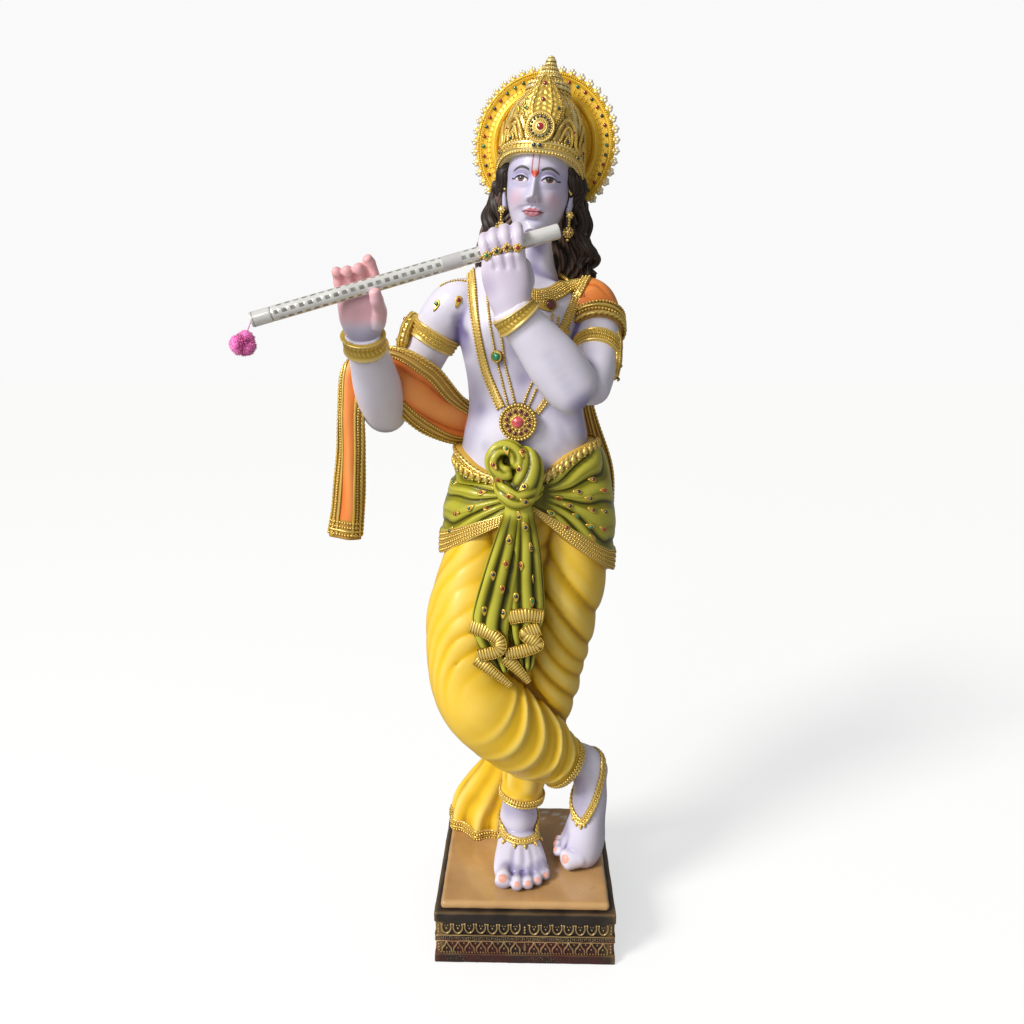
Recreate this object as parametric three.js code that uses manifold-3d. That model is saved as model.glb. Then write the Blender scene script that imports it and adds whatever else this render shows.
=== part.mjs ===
// A standing painted flute player, cast in one piece with jewels, scarf, sash and dhoti,
// on a square carved plinth. The flute, its wool pompon and the glass stones are separate.
// Millimetres, +Z up, the figure faces -Y, origin at the middle of the plinth's underside.
import * as THREE from "three";
import { mergeVertices } from "three/addons/utils/BufferGeometryUtils.js";
import Module from "manifold-3d";

const wasm = await Module();
wasm.setup();

// Driving sizes
const plinthSide = 132;
const plinthHeight = 47.5;
const slabInset = 4.5; // from the plinth's edge to the tan slab's edge
const slabHeight = 6;
const slabRound = 2.8; // chamfer of the slab's upper edge
const footHeight = 7.5; // plain foot under the carved bands
const lipHeight = 8;
const ledge = 1.8; // by which foot, lip and middle band stand out of the carved sides
const midBandHeight = 5;
const archCount = 14; // on each side, in each of two rows
const archProud = 1.2;

const figureHeight = 574; // soles to the tip of the crown
const figureForward = 10.5; // it stands this far in front of the plinth's middle
const fluteDiameter = 9;
const fluteWall = 0.9;
const fluteLength = 190;
const fluteGrip = 0.3; // clearance of the hands round the flute
const pomponDiameter = 17;
const threadDiameter = 1.6;
const threadShown = 1.2; // between the wool and the flute
const stoneDiameter = 6; // the larger glass stones
const touchGap = 0.3; // between pieces that touch

// The figure is drawn 574 units tall, measured from the plinth's top, and keeps its
// proportions at any height. Its right side is on -X.
const unit = figureHeight / 574;
const at = (x, y, z) =>
  new THREE.Vector3(x * unit, y * unit - figureForward, z * unit + plinthHeight + touchGap);
const clamp = THREE.MathUtils.clamp;
const mix = THREE.MathUtils.lerp;
const smooth = THREE.MathUtils.smoothstep;
const side = new THREE.Vector3(1, 0, 0);
const depth = new THREE.Vector3(0, 1, 0);
const full = 2 * Math.PI;

// A limb, cloth or lock: rings [x, y, z, half width, half depth] joined by smooth curves.
// The width runs along `across`; angle 0 is that side, and the angle turns to the front of
// a limb drawn upwards. relief(t, angle) raises the skin, flow(t, angle) slides it along,
// and an end closes in a dome of the given share of the length, or flat. Rows of points
// are evenly spread, or stand at the given shares `rows` of the length.
function loft(rings, options = {}) {
  const { across = side, around = 10, domes = [0, 0], square = 2, rows, relief, flow } = options;
  const first = domes[0] ? 2 : 1;
  const last = domes[1] ? 2 : 1;
  const along = rows ? rows.length + first + last - 1 : (options.along ?? 6);
  const spine = new THREE.CatmullRomCurve3(
    rings.map(([x, y, z]) => at(x, y, z)),
    false,
    "catmullrom",
  );
  const section = new THREE.SplineCurve(rings.map((r) => new THREE.Vector2(r[3], r[4])));
  const power = (v) => Math.sign(v) * Math.abs(v) ** (2 / square);
  const spot = (t, angle, lift = 0, share = 1) => {
    const s = flow ? clamp(flow(t, angle), 0, 1) : t;
    const run = spine.getTangent(s);
    const wide = across.clone().addScaledVector(run, -across.dot(run)).normalize();
    const deep = new THREE.Vector3().crossVectors(wide, run);
    const half = section.getPoint(s);
    const rise = lift + (relief ? relief(t, angle) : 0);
    return spine
      .getPoint(s)
      .addScaledVector(wide, (Math.max(half.x, 0.3) + rise) * power(Math.cos(angle)) * share * unit)
      .addScaledVector(deep, (Math.max(half.y, 0.3) + rise) * power(Math.sin(angle)) * share * unit);
  };
  const geometry = new THREE.SphereGeometry(1, around, along);
  const place = geometry.attributes.position;
  for (let i = 0; i < place.count; i++) {
    const row = along - Math.floor(i / (around + 1));
    const angle = Math.PI - (full * (i % (around + 1))) / around;
    const into = row / first;
    const left = (along - row) / last;
    const even = mix(domes[0], 1 - domes[1], (row - first) / (along - first - last));
    let t = rows ? (rows[clamp(row - first, 0, rows.length - 1)] ?? even) : even;
    let share = 1;
    if (into < 1) {
      share = Math.sin((Math.PI / 2) * into);
      t = domes[0] * (1 - Math.cos((Math.PI / 2) * into));
    } else if (left < 1) {
      share = Math.sin((Math.PI / 2) * left);
      t = 1 - domes[1] * (1 - Math.cos((Math.PI / 2) * left));
    }
    const p = spot(t, share ? angle : 0, 0, share);
    place.setXYZ(i, p.x, p.y, p.z);
  }
  const level = (z) => {
    let low = 0;
    let high = 1;
    const up = spine.getPoint(1).z > spine.getPoint(0).z;
    for (let i = 0; i < 20; i++) {
      const mid = (low + high) / 2;
      if (spine.getPoint(mid).z < at(0, 0, z).z === up) low = mid;
      else high = mid;
    }
    return low;
  };
  return { geometry, spot, level };
}

// A band round a limb between two lines, each a height t or a function of the angle.
function band(limb, low, high, lift, { around = 10, sink = 2, from = 0, to = full, rows = 4 } = {}) {
  const line = (v, angle) => (typeof v === "function" ? v(angle) : v);
  const whole = to - from > 6.28;
  const geometry = whole
    ? new THREE.TorusGeometry(2, 1, rows, around)
    : new THREE.SphereGeometry(1, rows, around);
  const place = geometry.attributes.position;
  for (let i = 0; i < place.count; i++) {
    const step = whole ? i % (around + 1) : Math.floor(i / (rows + 1));
    const turn = whole ? Math.floor(i / (around + 1)) : i % (rows + 1);
    const angle = from + ((to - from) * step) / around;
    const ring = (full * turn) / rows + Math.PI / rows;
    const end = whole || (step > 0 && step < around) ? 1 : 0;
    const v = 0.5 - 0.5 * clamp(Math.sin(ring) * 1.4142 * end, -1, 1);
    const out = Math.cos(ring) > 0 && end ? lift : -sink;
    const p = limb.spot(mix(line(low, angle), line(high, angle), v), angle, out);
    place.setXYZ(i, p.x, p.y, p.z);
  }
  return { geometry };
}

// A chain or border through points in place
const strand = (points, half, options = {}) =>
  loft(
    points.map((p) => {
      const [y, z] = [(p.y + figureForward) / unit, (p.z - plinthHeight - touchGap) / unit];
      return [p.x / unit, y, z, half, half];
    }),
    { around: 4, along: points.length + 1, ...options },
  );

function toSolid(geometry, matrix) {
  const bare = geometry.clone();
  bare.deleteAttribute("normal");
  bare.deleteAttribute("uv");
  if (matrix) bare.applyMatrix4(matrix);
  const merged = mergeVertices(bare, 1e-4);
  const solid = new wasm.Manifold(
    new wasm.Mesh({
      numProp: 3,
      vertProperties: new Float32Array(merged.attributes.position.array),
      triVerts: new Uint32Array(merged.index.array),
    }),
  );
  if (solid.volume() < 0) throw new Error("a shape is inside out");
  return solid;
}

function toGeometry(solid) {
  const { vertProperties, numProp, numVert, triVerts } = solid.getMesh();
  const place = new Float32Array(numVert * 3);
  for (let i = 0; i < numVert; i++) {
    place.set(vertProperties.subarray(i * numProp, i * numProp + 3), i * 3);
  }
  return new THREE.BufferGeometry()
    .setAttribute("position", new THREE.BufferAttribute(place, 3))
    .setIndex(new THREE.BufferAttribute(triVerts, 1));
}

const fuse = (solids) => solids.reduce((whole, next) => whole.add(next));
const shapes = [];
const keep = (shape) => {
  shapes.push(toSolid(shape.geometry));
  return shape;
};

// One fold: a rounded roll with a sharper crease on its far side
function roll(phase) {
  const w = phase - Math.floor(phase);
  return w < 0.6 ? Math.sin((Math.PI / 2) * (w / 0.6)) : Math.cos((Math.PI / 2) * ((w - 0.6) / 0.4));
}

// Torso and neck
const torso = keep(
  loft(
    [
      [-2, 8, 262, 44, 29],
      [-2, 7, 290, 46, 30],
      [-1.5, 4, 318, 45, 28.5],
      [-1, 2, 336, 42, 27.5],
      [-1, 3, 353, 39.5, 25],
      [-1.5, 4, 373, 40, 26],
      [-2, 4, 394, 43.5, 28],
      [-3, 4.5, 412, 45, 28.5],
      [-2.5, 6, 428, 42, 23],
      [0, 8, 439, 31, 17],
      [3, 8, 447, 17, 14],
      [5, 6, 458, 12.5, 12.5],
      [7, 3, 474, 11.5, 12],
    ],
    { around: 12, along: 11, square: 2.2 },
  ),
);

// Head, in a frame of its own: the middle of the skull, leaning and turned a little
const headLean = THREE.MathUtils.degToRad(5.5);
const headYaw = THREE.MathUtils.degToRad(-7);
const skull = [7, -2, 494];
const headTurn = new THREE.Matrix4()
  .makeRotationY(headLean)
  .multiply(new THREE.Matrix4().makeRotationZ(headYaw));
const onHead = (x, y, z) => {
  const p = new THREE.Vector3(x, y, z).applyMatrix4(headTurn);
  return [skull[0] + p.x, skull[1] + p.y, skull[2] + p.z];
};
const headRing = (x, y, z, a, b) => [...onHead(x, y, z), a, b];
const headAcross = side.clone().applyMatrix4(headTurn);
const headPlace = (x, y, z) => {
  const p = at(...onHead(x, y, z));
  return new THREE.Matrix4().makeTranslation(p.x, p.y, p.z).multiply(headTurn);
};
keep(
  loft(
    [
      headRing(0, -15, -31, 5, 5.5),
      headRing(0, -11.5, -27, 10.5, 11),
      headRing(0, -7, -20, 15.5, 16.5),
      headRing(0, -4, -10, 19, 20.5),
      headRing(0, -2, 0, 20.5, 23.5),
      headRing(0, -1, 10, 21, 25),
      headRing(0, 0, 20, 19, 23),
    ],
    { around: 12, along: 8, across: headAcross },
  ),
);
const features = [
  [
    [0, -25, 3, 1.5, 1.5],
    [0, -27, -4, 2, 2.2],
    [0, -28.6, -9, 3.4, 3],
    [0, -24, -12, 3, 2],
  ],
  [
    [0, -20, -15, 4, 1.5],
    [0, -22.6, -16.6, 5, 2],
    [0, -21, -18, 5, 1.6],
    [0, -20.5, -20.4, 3, 1.8],
  ],
];
for (const s of [-1, 1]) {
  features.push(
    [
      [s * 8.8, -20.4, 4, 4.6, 1],
      [s * 8.8, -21.2, 1.6, 5, 2.2],
      [s * 8.8, -19, -2, 3, 1],
    ],
    [
      [s * 22.5, -3.8, -31, 1.6, 1.6],
      [s * 22.4, -3.6, -26, 3.8, 3.6],
      [s * 22, -3, -18, 1.6, 1.8],
      [s * 20.5, -1, -12, 1.6, 3],
      [s * 21.5, 0, -5, 2, 4.6],
      [s * 22.5, 1, 1, 2, 5.4],
      [s * 21, 2, 6, 1.4, 2.4],
    ],
  );
}
for (const rings of features) {
  keep(
    loft(
      rings.map((r) => headRing(...r)),
      { around: 5, along: rings.length, across: headAcross },
    ),
  );
}

// Hair: a wavy mass down the back of the head and neck
const waves = (t, angle) => smooth(t, 0, 0.4) * 1.5 * Math.cos(7 * angle + 6 * t);
keep(
  loft(
    [
      [11, 6, 520, 24, 22],
      [8.5, 8, 500, 28, 21],
      [7, 12, 480, 31, 18],
      [4.5, 16, 462, 35.5, 15],
      [3.5, 19, 447, 37.5, 13],
      [3, 22, 434, 34, 11],
      [3, 24, 420, 24, 8],
    ],
    { around: 12, along: 6, relief: waves },
  ),
);

// Arms. A bangle or armlet is a raised stretch of the limb between two rows.
const raised = (low, high, lift) => (t) => (t > low && t < high ? lift : 0);
keep(
  loft(
    [
      [-28, 6, 422, 15, 14],
      [-46, 6, 421, 18, 17.5],
      [-57, 6, 411, 17.4, 17],
      [-66, 7, 397, 16, 15.5],
      [-78, 9, 377, 15, 15],
      [-90, 11, 359, 14, 14],
      [-98, 11, 346, 12.5, 12.5],
    ],
    {
      across: depth,
      domes: [0, 0.08],
      rows: [0, 0.2, 0.41, 0.42, 0.51, 0.52, 0.72, 0.92],
      relief: raised(0.415, 0.515, 1.8),
    },
  ),
);
keep(
  loft(
    [
      [-99, 15, 343, 13, 13],
      [-99.5, 4, 350, 16, 15],
      [-100.5, -13, 366, 16.4, 15],
      [-101, -29, 382, 14.2, 13],
      [-102, -44, 396, 12, 10],
      [-102, -50, 402, 12, 9],
    ],
    { domes: [0.1, 0], rows: [0.1, 0.3, 0.55, 0.82, 0.825, 0.985, 0.99], relief: raised(0.822, 0.987, 2.6) },
  ),
);
keep(
  loft(
    [
      [24, 6, 420, 15, 14],
      [39, 6, 419, 17.5, 17],
      [45.5, 0, 409, 17.5, 16.5],
      [45.5, -14, 394, 16.2, 15],
      [42, -32, 377, 15, 14.5],
      [36.5, -47, 363, 14, 14],
    ],
    {
      across: depth,
      domes: [0, 0.08],
      rows: [0, 0.2, 0.4, 0.6, 0.605, 0.69, 0.695, 0.92],
      relief: raised(0.602, 0.692, 1.8),
    },
  ),
);
keep(
  loft(
    [
      [37, -48, 361, 13, 13],
      [29, -51, 368, 17, 16],
      [17, -56, 384, 17.5, 15],
      [4, -61, 400, 14.5, 12.5],
      [-7, -65, 413, 12.4, 9.5],
      [-10, -66, 418, 12.4, 9],
    ],
    {
      across: new THREE.Vector3(0.8, 0, 0.6),
      domes: [0.1, 0],
      rows: [0.1, 0.3, 0.55, 0.815, 0.82, 0.985, 0.99],
      relief: raised(0.817, 0.987, 2.6),
    },
  ),
);

// Hands: a palm and five fingers, each finger [radius, ...points]
const finger = ([radius, ...points]) =>
  loft(
    points.map((p, i) => [...p, radius * (1 - 0.06 * i), radius * (1 - 0.06 * i)]),
    { around: 5, rows: points.length > 3 ? [0, 0.3, 0.6, 0.88] : [0, 0.85], domes: [0, 0.12] },
  );
keep(
  loft(
    [
      [-102, -46, 399, 11.5, 9],
      [-101.5, -53, 409, 13, 7.6],
      [-101, -58, 419, 14, 6.2],
      [-102, -60, 428, 12.8, 4.6],
    ],
    { around: 8, along: 4 },
  ),
);
const rightFingers = [
  [3.5, [-112, -59, 424], [-113, -60, 432], [-113, -64, 437.5], [-112.5, -69, 436.5]],
  [3.7, [-105.5, -60, 426], [-106, -61, 433], [-106.5, -65, 438], [-106, -70, 436.5]],
  [3.8, [-99, -60, 428], [-99, -61, 434.5], [-99.5, -65, 439.5], [-99.5, -70, 438]],
  [3.8, [-92.5, -60, 427], [-92, -61, 436], [-93.5, -63, 443], [-95.5, -66, 446.5]],
  [4.4, [-92, -55, 407], [-88.5, -63, 415], [-88.5, -72, 421.5], [-89.5, -75, 428]],
];
keep(
  loft(
    [
      [-8.5, -65, 415, 12, 9],
      [-10.5, -66, 424, 13, 7.5],
      [-13, -66, 436, 14, 6.2],
      [-14, -66, 447, 13, 5],
    ],
    { around: 8, along: 4, across: new THREE.Vector3(0.96, 0, 0.28) },
  ),
);
const leftFingers = [
  [3.6, [-23, -66, 444], [-25.5, -65, 453], [-25.5, -58, 457.5], [-24.5, -50.5, 456], [-24, -48.5, 450]],
  [3.9, [-17, -66, 446], [-20, -65, 455.5], [-20, -58, 460], [-19, -50.5, 458], [-18.5, -48.5, 452]],
  [4, [-11, -66, 448], [-13.5, -65, 457.5], [-13.5, -58, 462], [-13, -50.5, 460], [-12.5, -48.5, 454]],
  [4.1, [-5, -66, 448], [-6, -65, 458], [-6.5, -58, 463], [-6, -50.5, 461.5], [-6, -48.5, 456]],
  [4.6, [-3, -62, 422], [0, -55, 433], [-2, -50, 442], [-6, -49, 447]],
];

// Dhoti. Its folds run in rows that slide with the cloth: high at the near edge of the
// sweep, low at the far edge. Rows of points stand in each crease and on each ridge.
const creases = (count, from, to, ridge) =>
  Array.from({ length: 2 * (to - from) }, (_, i) => (from + Math.floor(i / 2) + (i % 2) * ridge) / count);
const sweepShare = (angle, centre, spread) => {
  const turn = Math.atan2(Math.sin(angle - centre), Math.cos(angle - centre));
  return clamp(0.5 + turn / (2 * spread), 0, 1);
};
const cloth = ({ count, height, slide, centre, spread, from = 0.06, to = 0.9, hem }) => ({
  flow: (t, angle) => {
    const q = sweepShare(angle, centre, spread);
    return t + slide * (1 - (1 - q) ** 2) * smooth(t, 0, 0.25) * (1 - smooth(t, 0.7, 1));
  },
  relief: (t, angle) => {
    const fade = Math.sin(Math.PI * clamp(1.15 * sweepShare(angle, centre, spread) - 0.02, 0, 1));
    const reach = smooth(t, from, from + 0.06) * (1 - smooth(t, to, to + 0.08));
    return height * fade ** 0.6 * roll(1 - count * t) * reach + (t > 0.94 ? hem : 0);
  },
});
keep(
  loft(
    [
      [27, 4, 272, 26, 27],
      [27, 4, 238, 30, 30],
      [22.5, 4, 205, 28, 28],
      [17.5, 4, 176, 27, 26],
      [14, 5, 150, 25, 24.5],
      [9.5, 6, 124, 22.5, 22.5],
      [6, 8, 104, 20.5, 21],
      [0.5, 10, 78, 18, 18],
      [-3.5, 11, 48, 15.5, 15.5],
    ],
    {
      around: 12,
      rows: [0, ...creases(11, 1, 7, 0.4), 0.7, 0.82, 0.93, 0.945, 1],
      ...cloth({ count: 11, height: 2.9, slide: 0.16, centre: 5.2, spread: 1.6, to: 0.56, hem: 1.8 }),
    },
  ),
);
keep(
  loft(
    [
      [-30, 4, 272, 22, 25],
      [-35, -3, 244, 27, 29],
      [-41, -12, 206, 29.5, 29],
      [-43, -20, 178, 27.5, 27.5],
      [-38, -26, 156, 28, 27],
      [-25.5, -29, 139, 29, 26],
      [-10, -28, 124, 28.5, 23],
      [7, -22, 108, 26.5, 19.5],
      [19.5, -16, 97, 21.5, 17],
      [30, -11, 88, 17.5, 15],
    ],
    {
      around: 13,
      rows: [0, 0.12, 0.24, 0.36, 0.45, ...creases(9.5, 5, 9, 0.6), 0.945, 0.955, 1],
      across: new THREE.Vector3(0.62, 0, 0.78),
      flow: (t, angle) => t - 0.05 * Math.cos(angle - 0.6) * smooth(t, 0.4, 0.7) * (1 - smooth(t, 0.85, 1)),
      relief: (t, angle) =>
        2.4 * roll(9.5 * t) * smooth(t, 0.45, 0.6) * (t < 0.95 ? 1 : 0) +
        (t > 0.95 ? 1.8 : 0) +
        1.1 * Math.cos(4 * angle - 13 * t) * (1 - smooth(t, 0.3, 0.5)),
    },
  ),
);
keep(
  loft(
    [
      [-6, 20, 132, 11, 8],
      [-14, 24, 95, 13, 9],
      [-22, 31, 62, 14.5, 10],
      [-33, 38, 36, 19, 12],
      [-41, 41, 16, 22, 13],
      [-43, 42, -4, 22, 13],
    ],
    {
      around: 16,
      along: 6,
      across: new THREE.Vector3(0.82, -0.57, 0),
      relief: (t, angle) => smooth(t, 0.1, 0.9) * 2.2 * Math.cos(6 * angle),
    },
  ),
);

// Gathered cloth between the thighs
keep(
  loft(
    [
      [-4, -14, 286, 22, 15],
      [-5, -16, 244, 19, 13],
      [-7, -19, 204, 15, 11],
      [-6, -20, 168, 8, 8],
    ],
    { around: 8, along: 4 },
  ),
);

// Feet: the planted one points at the viewer, the other stands on its toes
const ankleLeft = keep(
  loft(
    [
      [-4, 11, 66, 13.2, 14],
      [-5.2, 11.5, 44, 13, 13.5],
      [-5.6, 13, 26, 14, 15],
      [-6, 14, 12, 14, 16],
    ],
    { around: 8, along: 4 },
  ),
);
keep(
  loft(
    [
      [-7, 34, 8, 9, 8],
      [-7, 24, 10, 13, 11],
      [-6, 8, 13, 15.5, 14],
      [-4.5, -8, 10, 19, 11],
      [-3.5, -20, 7, 20.5, 8],
      [-3, -28, 5.2, 19.5, 6],
    ],
    { around: 10, along: 6, domes: [0.1, 0] },
  ),
);
const footRight = keep(
  loft(
    [
      [34, -9, 95, 11, 11],
      [46, -4, 84, 12, 13.5],
      [48.5, -1, 70, 13, 12.6],
      [49, 0, 56, 13.5, 13.4],
      [48.5, 1, 40, 15, 13.2],
      [46, 1.5, 24, 17, 15.5],
      [43.5, 2, 12, 18.5, 16.5],
      [41.5, 2.5, 4, 17.5, 15.5],
    ],
    {
      across: depth,
      rows: [0, 0.17, 0.3, 0.44, 0.58, 0.72, 0.86, 1],
    },
  ),
);
const toes = [
  [6.4, [-14, -24, 6.5], [-16, -32, 6.2], [-17, -38.5, 5]],
  [4.4, [-5.5, -25, 5.5], [-6, -35, 5.4], [-6, -41.5, 3.8]],
  [4.2, [2, -25, 5.5], [2, -34, 5.2], [2, -39.5, 3.6]],
  [4, [8.5, -22, 5.5], [9, -29, 5], [9, -35, 3.5]],
  [3.8, [14, -17, 5.2], [14.8, -23, 4.8], [15, -28.5, 3.4]],
  [6.6, [44, -13.5, 8], [35, -12.5, 8], [26.5, -9.5, 6]],
  [4.2, [38, -3, 9], [29, -1, 8], [22.5, 2, 5]],
  [4, [38, 5, 9], [29, 7.5, 7.5], [22.5, 10.5, 4.6]],
  [3.8, [38, 12, 8], [30, 15, 6.5], [24, 18, 4.3]],
  [3.6, [40, 18, 7], [34, 21, 5.6], [28.5, 24, 4]],
];
[...rightFingers, ...leftFingers, ...toes].forEach((f) => keep(finger(f)));

// Sash: a sheath round the hips, gathered to the knot in front
const hipRings = [
  [0, 6, 228, 60, 36],
  [0.5, 6, 254, 60.5, 36.5],
  [2, 5.5, 283, 58.5, 35.5],
  [2, 5, 305, 53.5, 32.5],
  [-0.5, 4, 323, 48, 29.5],
  [-0.5, 4, 340, 44, 27.5],
];
const hips = loft(hipRings, { square: 2.2 });
const underSash = hipRings.slice(0, 5).map(([x, y, z, a, b]) => [x, y, z, a - 4, b - 2.5]);
keep(loft(underSash, { around: 12, along: 4, square: 2.2 }));
const frontDip = (a) => (a > 0 && a < Math.PI ? 1 - Math.abs(Math.cos(a)) : 0);
const sashTop = (a) => 324 - 23 * frontDip(a) + 2.5 * Math.cos(a);
const sashLow = (a) => 247 + (a > 0 && a < Math.PI ? 45 * (1 - Math.abs(Math.cos(a))) : 0) - 5 * Math.cos(a);
const turnOf = (angle) => angle - full * Math.floor(angle / full);
const lineOf = (height, shift) => (angle) => hips.level(height(turnOf(angle)) + shift);
const sashFold = (t, angle) => 1.4 * Math.sin(Math.PI * t) * Math.cos(3 * full * t) * Math.cos(angle) ** 2;
keep(
  loft(hipRings, {
    around: 18,
    square: 2.2,
    rows: [0, 0.14, 0.15, 0.33, 0.5, 0.67, 0.85, 0.86, 1],
    flow: (t, angle) => mix(lineOf(sashLow, -5)(angle), lineOf(sashTop, 5)(angle), t),
    relief: (t, angle) => (t < 0.145 || t > 0.855 ? 3.2 : 1.2 + sashFold(t, angle)),
  }),
);

// Knot: a coil standing up, a wrapped lump and two hanging ends
const coil = new THREE.TorusGeometry(8 * unit, 5.4 * unit, 5, 9);
coil.rotateX(Math.PI / 2 - 0.2);
const coilPlace = at(-13.5, -39, 321);
coil.translate(coilPlace.x, coilPlace.y, coilPlace.z);
keep({ geometry: coil });
keep(
  loft(
    [
      [-3, -35, 329, 6, 6],
      [1.5, -38, 316, 8, 7],
      [-1, -39, 304, 10, 8.5],
      [-6, -39, 295, 9, 7],
      [-8, -39, 288, 5, 5],
    ],
    { around: 8, along: 7, domes: [0.15, 0.15] },
  ),
);
const pleats = (count, height) => (t, angle) => height * smooth(t, 0, 0.5) * Math.cos(count * angle);
keep(
  loft(
    [
      [-7, -38, 294, 6, 6],
      [-12, -39, 266, 9, 7],
      [-18.5, -39.5, 236, 11.5, 7],
      [-25, -42, 208, 12.5, 6.5],
      [-23.5, -44, 196, 12, 6],
      [-13, -44, 174, 5, 4],
    ],
    { around: 12, along: 6, relief: pleats(6, 1.3) },
  ),
);
keep(
  loft(
    [
      [-3, -38, 294, 6, 6],
      [-1, -38, 266, 9, 8],
      [-0.5, -37, 240, 11, 8],
      [0, -38, 216, 12, 8],
      [-1, -39, 202, 10, 7],
      [0, -39, 174, 5, 4],
    ],
    { around: 12, along: 6, relief: pleats(6, 1.3) },
  ),
);

// Scarf: over one shoulder, down the back, round the waist and across the other elbow
const mantle = keep(
  loft(
    [
      [18, 8, 434, 15, 14],
      [32, 7, 427, 19, 18],
      [41, 5, 420, 19.5, 18.6],
      [45.5, 0, 411, 19.2, 18],
      [46, -8, 402, 18.6, 17.6],
    ],
    { across: depth, around: 12, along: 6 },
  ),
);
const rumple = (t, angle) => 1.1 * Math.cos(4 * angle);
keep(
  loft(
    [
      [26, 20, 426, 15, 6],
      [24, 27, 400, 18, 5],
      [27, 30, 350, 19, 5],
      [36, 36, 300, 28, 5],
      [37, 39, 262, 28, 5],
      [38, 38, 224, 22, 5],
    ],
    { around: 8, along: 6, relief: rumple },
  ),
);
const swagAcross = new THREE.Vector3(0.35, -0.2, 0.9);
keep(
  loft(
    [
      [22, 32, 346, 15, 4],
      [-6, 33, 342, 15, 4.5],
      [-30, 26, 339, 14.5, 5],
      [-47, 14, 340, 14.5, 5.5],
      [-62, 2, 350, 17, 6],
      [-76, -5, 366, 19, 6.5],
      [-88, -5, 378, 14, 7],
      [-103, -2, 384, 9, 7],
    ],
    { across: swagAcross, around: 8, along: 9, relief: rumple },
  ),
);
keep(
  loft(
    [
      [-94, -2, 382, 9, 6],
      [-108, 0, 384, 9, 6],
      [-118, -2, 376, 9, 6],
      [-121.5, -4, 350, 8.4, 6],
      [-122.5, -6, 320, 8.6, 6],
      [-125, -8, 288, 9.6, 6],
      [-128.5, -8, 261, 10.6, 6],
    ],
    { across: new THREE.Vector3(0.8, 0, 0.6), around: 8, along: 8 },
  ),
);

// Crown and halo, in the head's frame
const crownProfile = [
  [0, 0],
  [27, 0],
  [28.6, 2],
  [28.4, 7],
  [26.6, 8],
  [25.8, 24],
  [20.5, 36],
  [14, 43],
  [13.2, 49],
  [6.5, 55],
  [3.4, 61],
  [0, 68.6],
];
const crownSeat = 12; // above the middle of the skull
const lathe = new THREE.LatheGeometry(
  crownProfile.map(([r, h]) => new THREE.Vector2(r * unit, h * unit)),
  12,
);
lathe.rotateX(Math.PI / 2);
// The rim arches up over the forehead and runs lower round the back
const rimDrop = (x, y) => 15 * smooth(1 - Math.cos(Math.atan2(x, -y)), 0, 1.5) - 3.6;
const crownPlace = lathe.attributes.position;
for (let i = 0; i < crownPlace.count; i++) {
  const [x, y, z] = [crownPlace.getX(i), crownPlace.getY(i), crownPlace.getZ(i)];
  crownPlace.setZ(i, z - rimDrop(x, y) * unit * (1 - smooth(z / unit, 8, 40)));
}
keep({ geometry: lathe.applyMatrix4(headPlace(0, 0, crownSeat)) });
const crownRelief = [
  [
    [1, -26, 32, 9, 4],
    [1, -24.5, 40, 12, 5],
    [0.6, -21.5, 48, 10.5, 5],
    [0.3, -17, 57, 6, 4],
    [0, -13, 64, 2, 3],
  ],
];
for (const s of [-1, 1]) {
  crownRelief.push([
    [s * 11 + 1, -27, 23, 3, 3],
    [s * 19 + 1, -22, 29, 3.4, 3],
    [s * 17.5 + 1, -21, 39, 3.4, 3],
    [s * 11 + 1, -24, 38, 3, 3],
  ]);
}
for (const rings of crownRelief) {
  keep(
    loft(
      rings.map((r) => headRing(...r)),
      { around: 5, along: 5, across: headAcross },
    ),
  );
}
const haloCentre = [-1.6, 24, 30.4];
const haloRadius = 45;
const petalCount = 26;
const petalReach = 5;
const haloThick = 3.4;
const petal = (i) => {
  const angle = (Math.PI * i) / petalCount;
  const radius = (i % 2 ? haloRadius + petalReach : haloRadius) * unit;
  return new THREE.Vector2(radius * Math.cos(angle), radius * Math.sin(angle));
};
const haloShape = new THREE.Shape(Array.from({ length: petalCount * 2 }, (_, i) => petal(i)));
const haloDisc = new THREE.ExtrudeGeometry(haloShape, { depth: haloThick * unit, bevelEnabled: false });
haloDisc.rotateX(Math.PI / 2);
keep({ geometry: haloDisc.applyMatrix4(headPlace(...haloCentre)) });
const haloRing = new THREE.TorusGeometry(33.5 * unit, 1.8 * unit, 3, 18);
haloRing.rotateX(Math.PI / 2);
keep({ geometry: haloRing.applyMatrix4(headPlace(haloCentre[0], haloCentre[1] - 3.4, haloCentre[2])) });

// Jewellery: bangles, armlets, collar, chains, pendant and anklets
const plaques = [
  [
    [-75, 5, 415, 3, 4],
    [-80.5, 2, 408, 6, 4],
    [-84, 1, 398, 7, 4],
    [-86, 1, 390, 3, 4],
  ],
  [
    [58, -2, 402, 3, 4],
    [59.5, -11, 394, 6, 4],
    [58, -22, 382, 7, 4],
    [55, -29, 374, 3, 4],
  ],
];
plaques.forEach((rings) => keep(loft(rings, { across: depth, around: 5, along: 4 })));
const collarDip = (a) => Math.max(Math.sin(a), 0) ** 1.5;
const collarLow = (a) => torso.level(435 - 17 * collarDip(a) + 1.5 * Math.cos(a));
const collarHigh = (a) => torso.level(447 - (Math.sin(a) > 0 ? 9 * Math.sin(a) : 0));
keep(band(torso, collarLow, collarHigh, 2.6, { around: 12, sink: 2 }));
const onTorso = (points) => points.map(([angle, z]) => torso.spot(torso.level(z), angle, 0.6));
keep(strand(onTorso([[2.5, 437], [2.25, 415], [2.1, 392], [1.9, 370], [1.7, 350]]), 2.4));
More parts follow.
